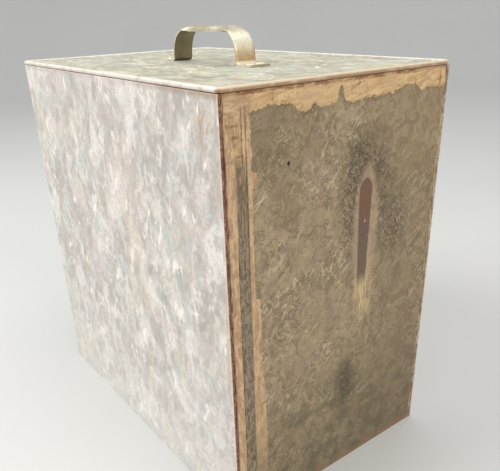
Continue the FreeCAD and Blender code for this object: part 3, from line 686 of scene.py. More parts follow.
def old_paint(shade, y, z, strips, band, grain):
    """Brushed, cracked tan paint, with its strokes along the top band and up the strips."""
    brushed = shade.field(mm(9, 18, 3.6), (0.16, 0, 0), 5.0, 0.68, 0.6)
    upright = shade.field(mm(9, 4, 12), detail=5.0, rough=0.68, distort=0.6)
    sweep = shade.mix(brushed, upright, strips * (1.0 - band))
    tan = shade.mix((186, 152, 108), (214, 184, 138), sweep.step(0.36, 0.64))
    tan = shade.mix(tan, (200, 166, 132), shade.even(30 * MM).step(0.48, 0.62) * 0.5)
    tan = shade.mix(tan, shade.mix((166, 136, 104), (202, 172, 138), sweep.step(0.4, 0.6)), strips * 0.8)
    patch = shade.even(6 * MM, detail=4.0, rough=0.7).step(0.54, 0.68)
    tan = shade.mix(tan, (160, 118, 80), patch * 0.55)
    cracks = shade.ridges(mm(9, 12, 4), (0.1, 0, 0), 0.008)
    patchy_cracks = shade.even(18 * MM).step(0.48, 0.56)
    tan = shade.mix(tan, (134, 96, 60), cracks * patchy_cracks * 0.6)
    tan = shade.mix(tan, (158, 134, 104), grain.step(0.55, 0.75) * 0.45)
    for place, reach in (
        (mm(-118, 379), mm(5, 1)),
        (mm(-116, 371), mm(3.5, 1.4)),
        (mm(118, 391), mm(1.2, 6)),
        (mm(-112, 357), mm(4, 1)),
    ):
        eye = shade.spot(y, z, place, reach, 0.5)
        tan = shade.mix(tan, (132, 94, 60), eye * 0.7)
    return tan, sweep


def felt_traces(shade, y, z, ragged):
    """Dark streaks where the felt has gone, and two fine lines above them."""
    below = (ragged * (30 * MM) + z).fall(338 * MM, 366 * MM)
    gone = y.band(FELT_LOW.y + 1 * MM, FELT_HIGH.y + 0.5 * MM, 0.7 * MM) * below
    threads = shade.field(mm(4, 2.6, 20), detail=5.0, rough=0.65, distort=0.8)
    worn = shade.mix((98, 84, 66), (178, 150, 118), threads.step(0.42, 0.64))
    shade.paint(worn, gone * 0.8)
    lines = shade.either(
        y.band(FELT_HIGH.y - 4.4 * MM, FELT_HIGH.y - 3.5 * MM, 0.45 * MM),
        y.band(FELT_HIGH.y - 0.6 * MM, FELT_HIGH.y + 0.3 * MM, 0.45 * MM),
    )
    lined = lines * z.band(290 * MM, 392 * MM, 3 * MM) * ragged.step(-0.12, 0.05, 0.3, 0.9)
    shade.paint((92, 68, 44), lined)


def end_material():
    """The narrow end: dulled zinc with the rest of some tan paint round its border, and a rust stain."""
    shade = Shade("end_galvanised")
    _, y, z = shade.parts(shade.offset(shade.coords, 1.4 * MM, 300.0))
    _, y_clean, z_clean = shade.parts()
    ragged = shade.even(11 * MM, detail=4.0, rough=0.65) - 0.5
    clouds, grain = tin_ground(shade)
    low_down = z_clean.step(0.0, 0.45 * HEIGHT, 0.6, 0.0)
    shade.paint((118, 106, 82), low_down)
    dim = z_clean.step(60 * MM, 150 * MM, 0.6, 0.0) * shade.even(20 * MM, detail=5.0).step(0.46, 0.6)
    shade.paint((92, 86, 68), dim)
    to_right = y_clean.step(-10 * MM, 70 * MM, 0.0, 0.35)
    shade.paint((118, 100, 76), to_right)
    front = END_LOW.y
    top_corner = shade.spot(y_clean, z_clean, (front + 40 * MM, 0.94 * HEIGHT), mm(60, 50), 0.6)
    shade.paint((112, 98, 74), top_corner * 0.35)
    far_top = shade.spot(y_clean, z_clean, (100 * MM, 0.93 * HEIGHT), mm(50, 46), 0.6)
    shade.paint((172, 152, 114), far_top * clouds.step(0.38, 0.62, 0.15, 0.45))

    soot, core = rust_stain(shade, y, z, clouds, grain)
    speck = shade.spot(y_clean, z_clean, mm(27.5, 275), mm(1.3, 1.6), 0.4)
    shade.paint((184, 140, 116), speck * 0.8)
    for start, end in ((mm(-99, 317), mm(-86, 323)), (mm(-99, 312), mm(-88, 326))):
        scratch = shade.line(y, z, start, end, 0.8 * MM)
        shade.paint((206, 192, 164), scratch * 0.8)
    # a near-black spot as the painted shade inside a small hole
    hole_shade = shade.spot(y_clean, z_clean, mm(-65, 344), mm(1.5, 1.8), 0.3)
    shade.paint((26, 21, 14), hole_shade)

    # old paint: a ragged band along the top and strips on both sides of the felt
    teeth = shade.even(3.4 * MM, detail=4.0, rough=0.7) - 0.5
    top_edge = paint_edge(shade, y_clean) + ragged * (9 * MM) + teeth * (9 * MM)
    band = (z - top_edge).step(-0.5 * MM, 0.5 * MM)
    felt_a, felt_b = FELT_LOW.y, FELT_HIGH.y
    strip_a = y.fall(felt_a + 0.2 * MM, felt_a + 1.0 * MM)
    wide = z_clean.fall(235 * MM, 238 * MM)
    wider = z_clean.step(100 * MM, 200 * MM, 4 * MM, 0.0)
    blob = z.band(331 * MM, 343 * MM, 0.8 * MM) * 0.9
    strip_to = shade.either(wide, blob) * (5.5 * MM) + (felt_b + 4.6 * MM) + wider + teeth * (6 * MM)
    fade_low = (ragged * (60 * MM) + z_clean).step(20 * MM, 150 * MM, 0.25, 1.0)
    before = (y - strip_to).fall(-0.6 * MM, 0.6 * MM)
    strip_b = before * y.step(felt_b + 0.2 * MM, felt_b + 1.2 * MM) * fade_low
    high_up = (ragged * (30 * MM) + z_clean).step(335 * MM, 362 * MM)
    above = high_up * y.fall(felt_b + 1 * MM, felt_b + 2 * MM)
    right = (ragged * (4 * MM) + y).step(END_HIGH.y - 3 * MM, END_HIGH.y - 2 * MM, 0.0, 0.7)
    bottom = (ragged * (16 * MM) + z).step(3 * MM, 9 * MM, 0.55, 0.0)
    strips = shade.either(strip_a, strip_b, above)
    tan, sweep = old_paint(shade, y, z, strips, band, grain)
    shade.paint(tan, shade.either(band, strip_a, strip_b, above, right))
    shade.paint((158, 122, 92), bottom)

    felt_traces(shade, y, z_clean, ragged)

    # rust beside the seam, rust with painted shade under the lid, and brown along the paint's edges
    rim = (z - top_edge).band(-2.2 * MM, -0.4 * MM, 0.7 * MM) * shade.even(9 * MM).step(0.42, 0.58)
    shade.paint((112, 86, 58), rim * 0.6)
    seam = (ragged * (4 * MM) + y).fall(front + 1.0 * MM, front + 2.6 * MM)
    rust_and_shade_under_lid = (ragged * (5 * MM) + z).step(HEIGHT - 3.2 * MM, HEIGHT - 1.6 * MM)
    patchy = shade.even(16 * MM, detail=3.0).step(0.42, 0.58, 0.25, 1.0)
    rusty = shade.mix((104, 62, 44), (158, 110, 72), grain.step(0.4, 0.65))
    shade.paint(rusty, shade.either(seam * 0.9, rust_and_shade_under_lid * patchy * 0.85))

    painted = shade.either(band, strips)
    roughness = painted.step(0.0, 1.0, 0.58, 0.82)
    metal = shade.either(painted, soot, core).step(0.0, 1.0, 0.22, 0.0)
    height = clouds * 0.3 + grain * 0.35 + painted * sweep.step(0.3, 0.7, 0.7, 1.3)
    return shade.finish(roughness, metal, height, 0.3 * MM)


def lid_material():
    """The top: green-grey cream with streaks along it; the bead painted pale with scuffs and a painted
    highlight, with painted shade under it.
    """
    shade = Shade("lid_galvanised")
    x, y, z = shade.parts()
    bent = shade.offset(shade.coords, 10 * MM, 34.0)
    clouds = shade.field(mm(24, 14, 14), (0, 0, 0.2), 6.0, 0.64, 1.2, bent)
    streaks = shade.field(mm(22, 3.5, 3.5), (0, 0, 0.05), 4.0, 0.62, 0.4, bent)
    tone = clouds * 0.8 + streaks * 0.2
    shade.colour = shade.mix((158, 154, 135), (210, 205, 186), tone.step(0.38, 0.61))
    for size, tint, low, strength in (
        (70 * MM, (186, 194, 182), 0.48, 0.5),
        (50 * MM, (210, 200, 166), 0.50, 0.5),
        (38 * MM, (164, 158, 142), 0.50, 0.6),
    ):
        cloud = shade.field((1.4 * size, size, size), (0, 0, 0.1), 4.0, 0.6, 1.2, bent)
        shade.paint(tint, cloud.step(low, low + 0.16) * strength)
    patchy = shade.even(40 * MM, detail=2.0).step(0.42, 0.6, 0.1, 1.0)
    for turn, size, low in ((0.5, mm(18, 8, 8), 0.57), (-0.4, mm(15, 6, 6), 0.59)):
        pale = shade.marks(size, (0, 0, turn), low, low + 0.1, bent)
        shade.paint((240, 235, 218), pale * patchy * 0.8)
    dusk = shade.marks(mm(20, 10, 10), (0, 0, -0.3), 0.56, 0.7, bent)
    shade.paint((150, 146, 126), dusk * 0.4)
    scratches = shade.ridges(mm(60, 12, 12), (0, 0, -0.15), 0.004, bent)
    shade.paint((150, 144, 124), scratches * 0.35)
    grain = shade.even(1.4 * MM, detail=3.0, rough=0.7)
    shade.paint((150, 148, 124), grain.step(0.52, 0.74) * 0.35)
    inside = shade.math("MINIMUM", LID_HIGH.x - abs(x), LID_HIGH.y - abs(y))
    bead = inside.fall(BEAD - 0.6 * MM, BEAD + 0.8 * MM)
    right_side = x.step(LID_HIGH.x - 5 * MM, LID_HIGH.x - 3 * MM)
    # on the end side the bead is painted cream on its crest as a painted highlight and brown below as
    # painted shade
    crest = z.step(LID_LOW.z + 1.2 * MM, LID_LOW.z + 3.0 * MM)
    end_bead = shade.mix((168, 130, 92), (224, 206, 176), crest)
    # the bead painted pale all round: scuffs and a painted highlight on its rounded edge
    scuffs_and_painted_light = shade.mix((236, 230, 220), end_bead, right_side)
    scuffs_and_painted_light = shade.mix(scuffs_and_painted_light, (206, 190, 164), shade.even(9 * MM, detail=3.0).step(0.52, 0.66, 0.0, 0.7))
    # painted shade on the bead's underside, stronger on the end side
    under = z.fall(LID_LOW.z - 0.2 * MM, LID_LOW.z + 1.2 * MM)
    scuffs_and_painted_light = shade.mix(scuffs_and_painted_light, (170, 136, 112), under * right_side.step(0.0, 1.0, 0.35, 0.8))
    shade.paint(scuffs_and_painted_light, bead * 0.88)
    roughness = (tone + bead * -0.3).step(0.1, 0.65, 0.4, 0.58)
    height = tone * 0.6 + grain * 0.3
    return shade.finish(roughness, 0.22, height, 0.12 * MM)


def seam_material():
    """Solder gone to rust: maroon at the near corner, muted tan at the far one."""
    shade = Shade("seam_rust")
    y = shade.parts()[1]
    mottle = shade.field(mm(3, 3, 9), detail=4.0, rough=0.7)
    near = shade.mix((92, 52, 40), (152, 108, 88), mottle.step(0.38, 0.62))
    brown = shade.mix((104, 78, 52), (176, 140, 104), mottle.step(0.38, 0.62))
    near = shade.mix(near, brown, shade.field(mm(40, 40, 60), detail=2.0).step(0.48, 0.56))
    far = shade.mix((128, 104, 84), (190, 168, 142), mottle.step(0.38, 0.62))
    shade.colour = shade.mix(near, far, y.step(-10 * MM, 10 * MM))
    cracks = shade.field(mm(2, 0.9, 14), detail=3.0).step(0.56, 0.64)
    shade.paint((52, 32, 24), cracks * 0.7)
    return shade.finish(mottle.step(0.3, 0.7, 0.9, 0.7), 0.0, mottle, 0.5 * MM)


def grainy(name, dark, light, size, rough, depth=0.2 * MM, metal=0.0):
    """Two tones mixed by noise of a given size, with a fine grain over it: wood, felt, cork, rubber."""
    shade = Shade(name)
    broad = shade.field(size, detail=5.0, rough=0.65, distort=0.8)
    fine = shade.field(tuple(value / 9 for value in size), detail=3.0, rough=0.7)
    shade.colour = shade.mix(dark, light, broad.step(0.32, 0.68))
    shade.paint(dark, fine.step(0.5, 0.75) * 0.6)
    roughness = fine.step(0.3, 0.7, rough - 0.08, rough + 0.08)
    return shade.finish(roughness, metal, broad + fine * 0.6, depth)


def handle_material():
    """A plated strap with a painted highlight on its bends, brassy where the plating is thin, and painted
    shade on its inner and lower faces.
    """
    shade = Shade("handle_plate")
    x, _, z = shade.parts()
    worn = shade.even(20 * MM, detail=5.0, rough=0.62, distort=0.5)
    fine = shade.even(2 * MM, detail=3.0, rough=0.7)
    shade.colour = shade.mix((172, 160, 130), (222, 214, 190), worn.step(0.36, 0.62))
    grip = z.step(HANDLE_HIGH.z - 8 * MM, HANDLE_HIGH.z - 5 * MM)
    shade.paint((160, 148, 124), grip * shade.even(12 * MM).step(0.42, 0.58) * 0.5)
    # a painted highlight on the bends and the upper legs
    shoulder_highlight = z.band(HANDLE_LOW.z + 20 * MM, HANDLE_HIGH.z - 4 * MM, 4 * MM)
    shade.paint((244, 241, 220), shoulder_highlight * 0.6)
    low = z.fall(HANDLE_LOW.z + 4 * MM, HANDLE_LOW.z + 22 * MM)
    outer_leg = x.step(HANDLE_HIGH.x - 34 * MM, HANDLE_HIGH.x - 26 * MM)
    shade.paint((180, 146, 96), low * outer_leg * 0.75)
    # painted shade on the faces that turn inward below the grip and on those that face down
    normal = shade.parts(shade.node("ShaderNodeNewGeometry").outputs["Normal"])
    middle = (HANDLE_LOW.x + HANDLE_HIGH.x) / 2
    facing_in = normal[0] * shade.math("SIGN", middle - x)
    below_grip = z.fall(HANDLE_HIGH.z - 10 * MM, HANDLE_HIGH.z - 4 * MM)
    painted_shade = shade.either(below_grip * facing_in.step(0.2, 0.8), normal[2].step(-0.2, -0.8))
    shade.paint((104, 94, 66), painted_shade * 0.85)
    shade.paint((92, 80, 56), fine.step(0.54, 0.72) * 0.55)
    # the feet's tops painted pale where there is no painted shade: painted light, broken up by wear
    foot = z.fall(HANDLE_LOW.z + 2.5 * MM, HANDLE_LOW.z + 5 * MM)
    rubbed_and_lit = foot * painted_shade.step(0.0, 1.0, 1.0, 0.1) * worn.step(0.3, 0.6, 0.9, 0.6)
    shade.paint((240, 235, 216), rubbed_and_lit)
    tip = x.step(HANDLE_HIGH.x - 5 * MM, HANDLE_HIGH.x - 1 * MM)
    shade.paint((128, 120, 84), tip * foot * 0.7)
    roughness = worn.step(0.3, 0.7, 0.48, 0.34)
    return shade.finish(roughness, 0.55, worn + fine * 0.3, 0.15 * MM)


def floor_material():
    shade = Shade("pale_floor")
    shade.colour = shade.mix((206, 206, 204), (212, 212, 210), shade.even(0.5, detail=3.0))
    return shade.finish(0.85, 0.0, shade.even(6 * MM, detail=3.0), 0.2 * MM)


# ---------------------------------------------------------------- case


def case_path():
    """The wrap's outline from the painted end's front edge, round three sides, to its back edge."""
    step, arc = 8 * MM, 6
    edge = HEM / 2
    left, right = CASE_LOW.x, CASE_HIGH.x - edge
    front, back = CASE_LOW.y, CASE_HIGH.y
    path = []

    def straight(start, end, normal):
        steps = round((end - start).length / step)
        path.extend((start.lerp(end, i / steps), normal) for i in range(steps + 1))

    def corner(centre, angle):
        for k in range(1, arc):
            turn = angle - QUARTER * k / arc
            normal = Vector((math.cos(turn), math.sin(turn)))
            path.append((centre + normal * CORNER, normal))

    straight(Vector((right, front)), Vector((left + CORNER, front)), Vector((0, -1)))
    corner(Vector((left + CORNER, front + CORNER)), -QUARTER)
    straight(Vector((left, front + CORNER)), Vector((left, back - CORNER)), Vector((-1, 0)))
    corner(Vector((left + CORNER, back - CORNER)), -2 * QUARTER)
    straight(Vector((left + CORNER, back)), Vector((right, back)), Vector((0, 1)))
    return path


def dents(at, border):
    """How far the sheet is pushed in: broad oil-canning with a few soft knocks, none at the hems."""
    held = smooth_step(border, HEM_DEPTH, 45 * MM)
    broad = 0.5 + 0.5 * wobble(at, 120 * MM, 1)
    small = max(0, wobble(at, 38 * MM, 2))
    hem_line = 0.15 * MM * smooth_step(border, HEM_DEPTH - 2 * MM, HEM_DEPTH + 2 * MM)
    return hem_line + held * (0.7 * MM * broad + 0.35 * MM * small)


def hemmed(border):
    return HEM + (GAUGE - HEM) * smooth_step(border, HEM_DEPTH - 1 * MM, HEM_DEPTH + 1 * MM)


def make_case(steel, end, seam_rust, felt):
    wrap = bent_sheet("case_wrap", case_path(), CASE_LOW.z, CASE_HIGH.z, hemmed, dents)
    piece(wrap, "case", steel, "side_wrap")

    x = END_HIGH.x
    edge = HEM / 2
    width = END_HIGH.y - END_LOW.y - 2 * edge
    steps = round(width / (6 * MM))
    path = [(Vector((x, END_LOW.y + edge + width * i / steps)), Vector((1, 0))) for i in range(steps + 1)]
    panel = bent_sheet(
        "end_sheet",
        path,
        END_LOW.z,
        END_HIGH.z,
        lambda border: GAUGE,
        lambda at, border: 0.3 * MM * smooth_step(border, 8 * MM, 50 * MM) * (1 + wobble(at, 90 * MM, 3)),
    )
    piece(panel, "case", end, "end_panel")
    piece(make_seams(), "case", seam_rust, "solder_seams")
    piece(make_felt(), "case", felt, "felt_strip")


def make_seams():
    """Two uneven beads of solder in the corners between the end sheet and the hems."""
    low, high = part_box("solder_seams")
    surface = Surface()
    step = 3 * MM
    for side, y in ((1, low.y), (-1, high.y)):
        rows = []
        count = round((high.z - low.z) / step)
        for j in range(count + 1):
            z = low.z + (high.z - low.z) * j / count
            swell = 1 + 0.45 * wobble((0, side, z), 9 * MM, 4)
            reach, rise = 1.9 * MM * swell, 0.75 * MM * min(swell, 1.2)
            points = [(low.x - 0.3 * MM, y, z)]
            for k in range(6):
                turn = QUARTER * k / 5
                points.append((low.x + rise * math.cos(turn), y + side * reach * math.sin(turn), z))
            points.append((low.x - 0.3 * MM, y + side * reach, z))
            rows.append(surface.row(points))
        surface.join(rows, closed=True)
        surface.faces += [tuple(rows[0]), tuple(rows[-1])]
    return surface.build("end_seams")


def make_felt():
    """What is left of a felt strip: a matted, ragged band that thins out at its top."""
    surface = Surface()
    across, up = 12, 150
    front, back = [], []
    for j in range(up + 1):
        share = j / up
        z = FELT_LOW.z + (FELT_HIGH.z - FELT_LOW.z) * share
        thin = 1 - 0.75 * smooth_step(share, 0.9, 1.0)
        left = FELT_LOW.y + 0.5 * MM * abs(wobble((0, 1, z), 6 * MM, 5)) + 1.5 * MM * (1 - thin)
        right = FELT_HIGH.y - 0.5 * MM * abs(wobble((0, 2, z), 7 * MM, 6)) - 2.5 * MM * (1 - thin)
        shown, hidden = [], []
        for i in range(across + 1):
            y = left + (right - left) * i / across
            rim = min(i, across - i, j, up - j)
            pile = (0.35, 0.8, 1)[min(rim, 2)] * (0.72 + 0.28 * wobble((0, y, z), 2.2 * MM, 7))
            shown.append((FELT_LOW.x + (FELT_HIGH.x - FELT_LOW.x) * pile * thin, y, z))
            hidden.append((FELT_LOW.x - 0.2 * MM, y, z))
        front.append(surface.row(shown))
        back.append(surface.row(hidden))
    surface.join(front)
    surface.join(back)
    surface.bridge(rim_of(front), rim_of(back), closed=True)
    return surface.build("felt_remnant", sharp=80)


# ---------------------------------------------------------------- lid


def half_of(low, high):
    return ((high.x - low.x) / 2, (high.y - low.y) / 2)


def make_lid(steel, handle, felt, inner_steel):
    half = half_of(LID_LOW, LID_HIGH)
    cells, arc = cells_for(half, 8 * MM), 6
    round_edge, proud = BEAD / 2, 0.5 * MM
    bead = arc_points((-round_edge, LID_HIGH.z + proud - round_edge), round_edge, 1.6, -2, 16)
    profile = bead + [(-BEAD, LID_HIGH.z - GAUGE)]
    surface = Surface()
    rows = swept(surface, half, LID_CORNER, profile, cells, arc)
    cap(surface, rows[0], half, LID_CORNER, LID_HIGH.z, cells, arc)
    cap(surface, rows[-1], half, LID_CORNER, LID_HIGH.z - GAUGE, cells, arc)

    handle_middle = (HANDLE_LOW + HANDLE_HIGH) / 2

    def shift(point):
        inside = min(half[0] - abs(point.x), half[1] - abs(point.y))
        if inside < BEAD:
            return Vector((0, 0, 0.12 * MM * min(0, wobble(point, 45 * MM, 8))))
        feet = math.hypot(max(abs(point.x - handle_middle.x) - 90 * MM, 0), point.y - handle_middle.y)
        sag = 0.5 * MM * (0.5 + 0.5 * wobble(point, 90 * MM, 9)) * smooth_step(inside, BEAD, 40 * MM)
        groove = 0.3 * MM * (1 - smooth_step(inside, 2 * BEAD, 4 * BEAD))
        return Vector((0, 0, -groove - sag * smooth_step(feet, 14 * MM, 60 * MM)))

    piece(surface.build("lid_skin", shift), "lid", steel, "lid_sheet")
    make_handle(handle)
    make_rivets(handle)

    gap = LINER_RIM + GAUGE + 2 * MM
    plug = (LINER_HIGH.x - gap, LINER_HIGH.y - gap)
    brim, top = PAN_HIGH.x - plug[0], PAN_HIGH.z
    rim = [(0, top - GAUGE - MM), (0.3 * MM, top - GAUGE), (brim, top - GAUGE)]
    rim += [(brim, top), (-0.7 * MM, top), (-GAUGE, top - MM)]
    pressed = pan("lid_pan_pressed", plug, 6 * MM, PAN_LOW.z, rim)
    piece(pressed, "lid", inner_steel, "lid_pan")
    make_gasket(felt)


def make_gasket(felt):
    """A felt ring with soft edges under the lid's brim."""
    half = tuple(side - 2 * MM for side in half_of(GASKET_LOW, GASKET_HIGH))
    inner = LINER_HIGH.x - 9 * MM
    reach = half[0] - inner
    low, high = GASKET_LOW.z, GASKET_HIGH.z
    soft = (high - low) / 2
    profile = arc_points((-soft, low + soft), soft, -1, 1, 6)
    profile += arc_points((-reach + soft, low + soft), soft, 1, 3, 6)
    surface = Surface()
    rows = swept(surface, half, reach + MM, profile, cells_for(half, 6 * MM), 8)
    surface.bridge(rows[-1], rows[0], closed=True)
    ring = surface.build("lid_felt_ring", lambda p: Vector((0, 0, 0.06 * MM * wobble(p, 5 * MM, 10))))
    piece(ring, "lid", felt, "lid_gasket")


def rounded_route(corners, step):
    """Points along straight runs joined by arcs, from (point, radius) pairs, with the direction at each."""

    def straight(start, end, way):
        count = max(1, round((end - start).length / step))
        return [(start.lerp(end, i / count), way) for i in range(1, count + 1)]

    at = corners[0][0]
    route = [(at, (corners[1][0] - at).normalized())]
    for (a, _), (b, radius), (c, _) in zip(corners, corners[1:], corners[2:]):
        into, out = (b - a).normalized(), (c - b).normalized()
        bend = into.angle_signed(out)
        reach = radius * math.tan(abs(bend) / 2)
        start = b - into * reach
        route += straight(at, start, into)
        side = -1 if bend > 0 else 1
        centre = start + Vector((-into.y, into.x)) * radius * side
        arcs = max(4, round(abs(bend) * radius / step))
        for k in range(1, arcs + 1):
            turn = Euler((0, 0, side * abs(bend) * k / arcs)).to_matrix().to_2x2()
            route.append((centre + turn @ (start - centre), turn @ into))
        at = b + out * reach
    last = corners[-1][0]
    return route + straight(at, last, (last - at).normalized())


def strap_section(wide, grip):
    """Points across the strap as (sideways, up, slope), with its edges turned down where it is gripped."""
    steps, curl_from = 10, wide - 5.2 * MM * grip
    y = drop = 0.0
    half = [(0.0, 0.0, 0.0)]
    for k in range(1, steps + 1):
        slope = 1.45 * grip * smooth_step(k / steps * wide, curl_from, curl_from + 3.2 * MM)
        y += wide / steps * math.cos(slope)
        drop += wide / steps * math.sin(slope)
        half.append((y, -drop, slope))
    return [(-y, up, -slope) for y, up, slope in half[:0:-1]] + half


def make_handle(material):
    """A strap bent to a bridge, with round-cornered feet, in sections across the strap."""
    centre = (HANDLE_LOW + HANDLE_HIGH) / 2
    half_width = (HANDLE_HIGH.y - HANDLE_LOW.y) / 2
    foot_z, top_z = HANDLE_LOW.z + STRAP / 2, HANDLE_HIGH.z - STRAP / 2
    reach = (HANDLE_HIGH.x - HANDLE_LOW.x) / 2
    leg, lean = reach - 24 * MM, 3 * MM
    left = [(-reach, foot_z, 0), (-leg, foot_z, 3 * MM), (lean - leg, top_z, 26 * MM)]
    right = [(-x, z, radius) for x, z, radius in left[::-1]]
    step = 1.6 * MM
    route = rounded_route([(Vector((centre.x + x, z)), radius) for x, z, radius in left + right], step)
    surface = Surface()
    rows = []
    for number, (at, way) in enumerate(route):
        up = Vector((-way.y, way.x))
        grip = 1 - smooth_step(abs(at.x - centre.x), 28 * MM, 54 * MM)
        from_end = min(number, len(route) - 1 - number) * step
        tip = math.sqrt(max(0, 1 - (1 - min(from_end / (5 * MM), 1)) ** 2))
        section = strap_section(half_width * (0.86 + 0.14 * tip) - 0.8 * MM * grip, grip)
        bulge = 0.12 * MM * wobble((at.x, 0, at.y), 14 * MM, 11)
        ring = []
        for side in (1, -1):
            layer = []
            for k, (y, rise, slope) in enumerate(section):
                across = side * STRAP / 2 * (1 if 0 < k < len(section) - 1 else 0.75)
                lift = rise + across * math.cos(slope) + bulge
                sideways = centre.y + y + across * math.sin(slope)
                layer.append((at.x + up.x * lift, sideways, at.y + up.y * lift))
            ring += layer[::side]
        rows.append(surface.row(ring))
    surface.join(rows, closed=True)
    count = len(rows[0])
    for row in (rows[0], rows[-1]):
        for k in range(count // 2 - 1):
            surface.faces.append((row[k], row[k + 1], row[count - 2 - k], row[count - 1 - k]))
    piece(surface.build("handle_strap", sharp=55), "lid", material, "lid_handle")


def make_rivets(material):
    """Domed heads on the feet, each in a low ring of solder, and flat tails inside the lid."""
    surface = Surface()
    head = 4.6 * MM
    angles = [QUARTER * k / 7 for k in range(7)]
    profile = [(2.4 * MM, -0.8 * MM), (head + 0.9 * MM, -0.1 * MM), (head + 0.3 * MM, 0.25 * MM)]
    profile += [(head * math.cos(angle), 1.6 * MM * math.sin(angle)) for angle in angles]
    tail = [mm(2.8, 0), mm(3.6, 0.4), mm(3.3, 1.1)]
    for x in (RIVETS_LOW.x + head, RIVETS_HIGH.x - head):
        for y in (RIVETS_LOW.y + head, RIVETS_HIGH.y - head):
            lathe(surface, profile, (x, y, HANDLE_LOW.z + STRAP), (0, 0, 1), (1, 0, 0), 32)
            lathe(surface, tail, (x, y, RIVETS_LOW.z), (0, 0, 1), (1, 0, 0), 24)
    piece(surface.build("handle_rivet_heads"), "lid", material, "handle_rivets")


# ---------------------------------------------------------------- inside


def make_inside(steel, tray_steel, pines, woods):
    """The tank, the tray in it, the ice rack's boards and the strips round the rim."""
    liner_half = (LINER_HIGH.x - LINER_RIM, LINER_HIGH.y - LINER_RIM)
    top = LINER_HIGH.z
    rim = [(0, top - 3 * MM), (0.6 * MM, top - 1.4 * MM), (1.8 * MM, top - GAUGE), (LINER_RIM, top - GAUGE)]
    rim += [(LINER_RIM, top), (1.2 * MM, top), (-0.5 * MM, top - 0.7 * MM), (-GAUGE, top - 2.4 * MM)]
    liner = pan("liner_tank", liner_half, 8 * MM, LINER_LOW.z, rim, 6 * MM)
    piece(liner, "case", steel, "liner")

    half = half_of(TRAY_LOW, TRAY_HIGH)
    wire = 1.5 * MM
    roll = arc_points((0, TRAY_HIGH.z - wire), wire, -1, 2.4, 12)
    tray = pan("tray_pan", half, 5 * MM, TRAY_LOW.z, [(-0.2 * MM, TRAY_HIGH.z - 5 * MM)] + roll, 3.5 * MM)
    piece(tray, "tray", tray_steel, "food_tray")

    for number in range(1, 6):
        node = f"rack_slat_{number}"
        slat = plank(f"slat_{number}", *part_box(node), 1.5 * MM, number)
        piece(slat, "ice_rack", woods[0], node)
    for side in ("left", "middle", "right"):
        node = f"rack_batten_{side}"
        batten = plank(f"batten_{side}", *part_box(node), 1 * MM, 20)
        piece(batten, "ice_rack", woods[1], node)
    for side in ("front", "back", "left", "right"):
        node = f"breaker_{side}"
        pine = pines[0] if side in ("front", "back") else pines[1]
        piece(plank(f"rim_strip_{side}", *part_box(node), 0.4 * MM, 30), "case", pine, node)


def make_drain(brass, rubber, solder):
    """The spout, its soldered flange and its ribbed stopper, in the far narrow end."""
    middle = (TUBE_LOW + TUBE_HIGH) / 2
    radius, bore, lip = (TUBE_HIGH.z - TUBE_LOW.z) / 2, 6.5 * MM, 0.5 * MM
    wall, length = radius - 0.3 * MM, TUBE_HIGH.x - TUBE_LOW.x

    def at_tube(x, reach, angle):
        return (x, middle.y + math.cos(angle) * reach, middle.z + math.sin(angle) * reach)

    def at_flange(reach, height, angle):
        swell = 1 + 0.04 * wobble((math.cos(angle), math.sin(angle), height * 100), 0.5, 12)
        return at_tube(FLANGE_HIGH.x - height, reach * swell, angle)

    surface = Surface()
    profile = [(bore, 0), (bore + lip, 0), (radius - lip, 0), (radius, lip), (radius, 2 * MM)]
    profile += [(wall, 3 * MM), (wall, length), (bore, length)]
    rows = turned(surface, profile, 48, lambda reach, x, angle: at_tube(TUBE_LOW.x + x, reach, angle))
    surface.join(rows + rows[:1], closed=True)
    piece(surface.build("drain_spout"), "case", brass, "drain_tube")

    surface = Surface()
    rim = (FLANGE_HIGH.z - FLANGE_LOW.z) / 2
    profile = [(radius, 0), (rim, 0), (rim, 0.9 * MM), (rim - 1.2 * MM, 1.5 * MM)]
    profile += [(radius + 3 * MM, 1.5 * MM), (radius + 1.2 * MM, 2.4 * MM), (radius - 0.1 * MM, 3.4 * MM)]
    rows = turned(surface, profile, 64, at_flange)
    surface.join(rows + rows[:1], closed=True)
    piece(surface.build("drain_flange_soldered"), "case", solder, "drain_flange_outer")

    surface = Surface()
    head = (STOPPER_HIGH.z - STOPPER_LOW.z) / 2
    inset = TUBE_LOW.x - STOPPER_LOW.x
    profile = [(0.55 * head, 0), (0.8 * head, 0.4 * MM), (0.88 * head, 1.6 * MM)]
    for k in range(4):
        start = 2 * MM + k * 1.4 * MM
        profile += [(0.9 * head, start), (0.98 * head, start + 0.35 * MM)]
        profile += [(0.98 * head, start + 0.8 * MM), (0.9 * head, start + 1.1 * MM)]
    profile += [(0.97 * head, inset - 0.3 * MM), (0.9 * head, inset), (bore - 0.3 * MM, inset)]
    profile += [(bore - 0.4 * MM, inset + 8 * MM), (bore - 0.7 * MM, inset + 14 * MM)]
    profile.append((bore - 2 * MM, inset + 15 * MM))
    lathe(surface, profile, (STOPPER_LOW.x, middle.y, middle.z), (1, 0, 0), (0, 1, 0), 48)
    piece(surface.build("drain_bung"), "stopper", rubber, "drain_stopper")


def dress(material, *nodes):
    """Gives CAD nodes that stay visible their material."""
    for node in nodes:
        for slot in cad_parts[node].material_slots:
            slot.material = material


# ---------------------------------------------------------------- stage


def make_camera():
    data = bpy.data.cameras.new("camera")
    data.lens, data.sensor_width, data.shift_y = CAMERA_LENS, 36, CAMERA_RISE
    data.clip_start, data.clip_end = 0.01, 50
    camera = bpy.data.objects.new("camera", data)
    turn = Euler((math.radians(90 - CAMERA_DIP), 0, math.radians(CAMERA_TURN))).to_matrix()
    roll = Euler((0, 0, math.radians(CAMERA_ROLL))).to_matrix()
    camera.rotation_euler = (turn @ roll).to_euler()
    camera.location = CAMERA_AT
    bpy.context.scene.collection.objects.link(camera)
    bpy.context.scene.camera = camera


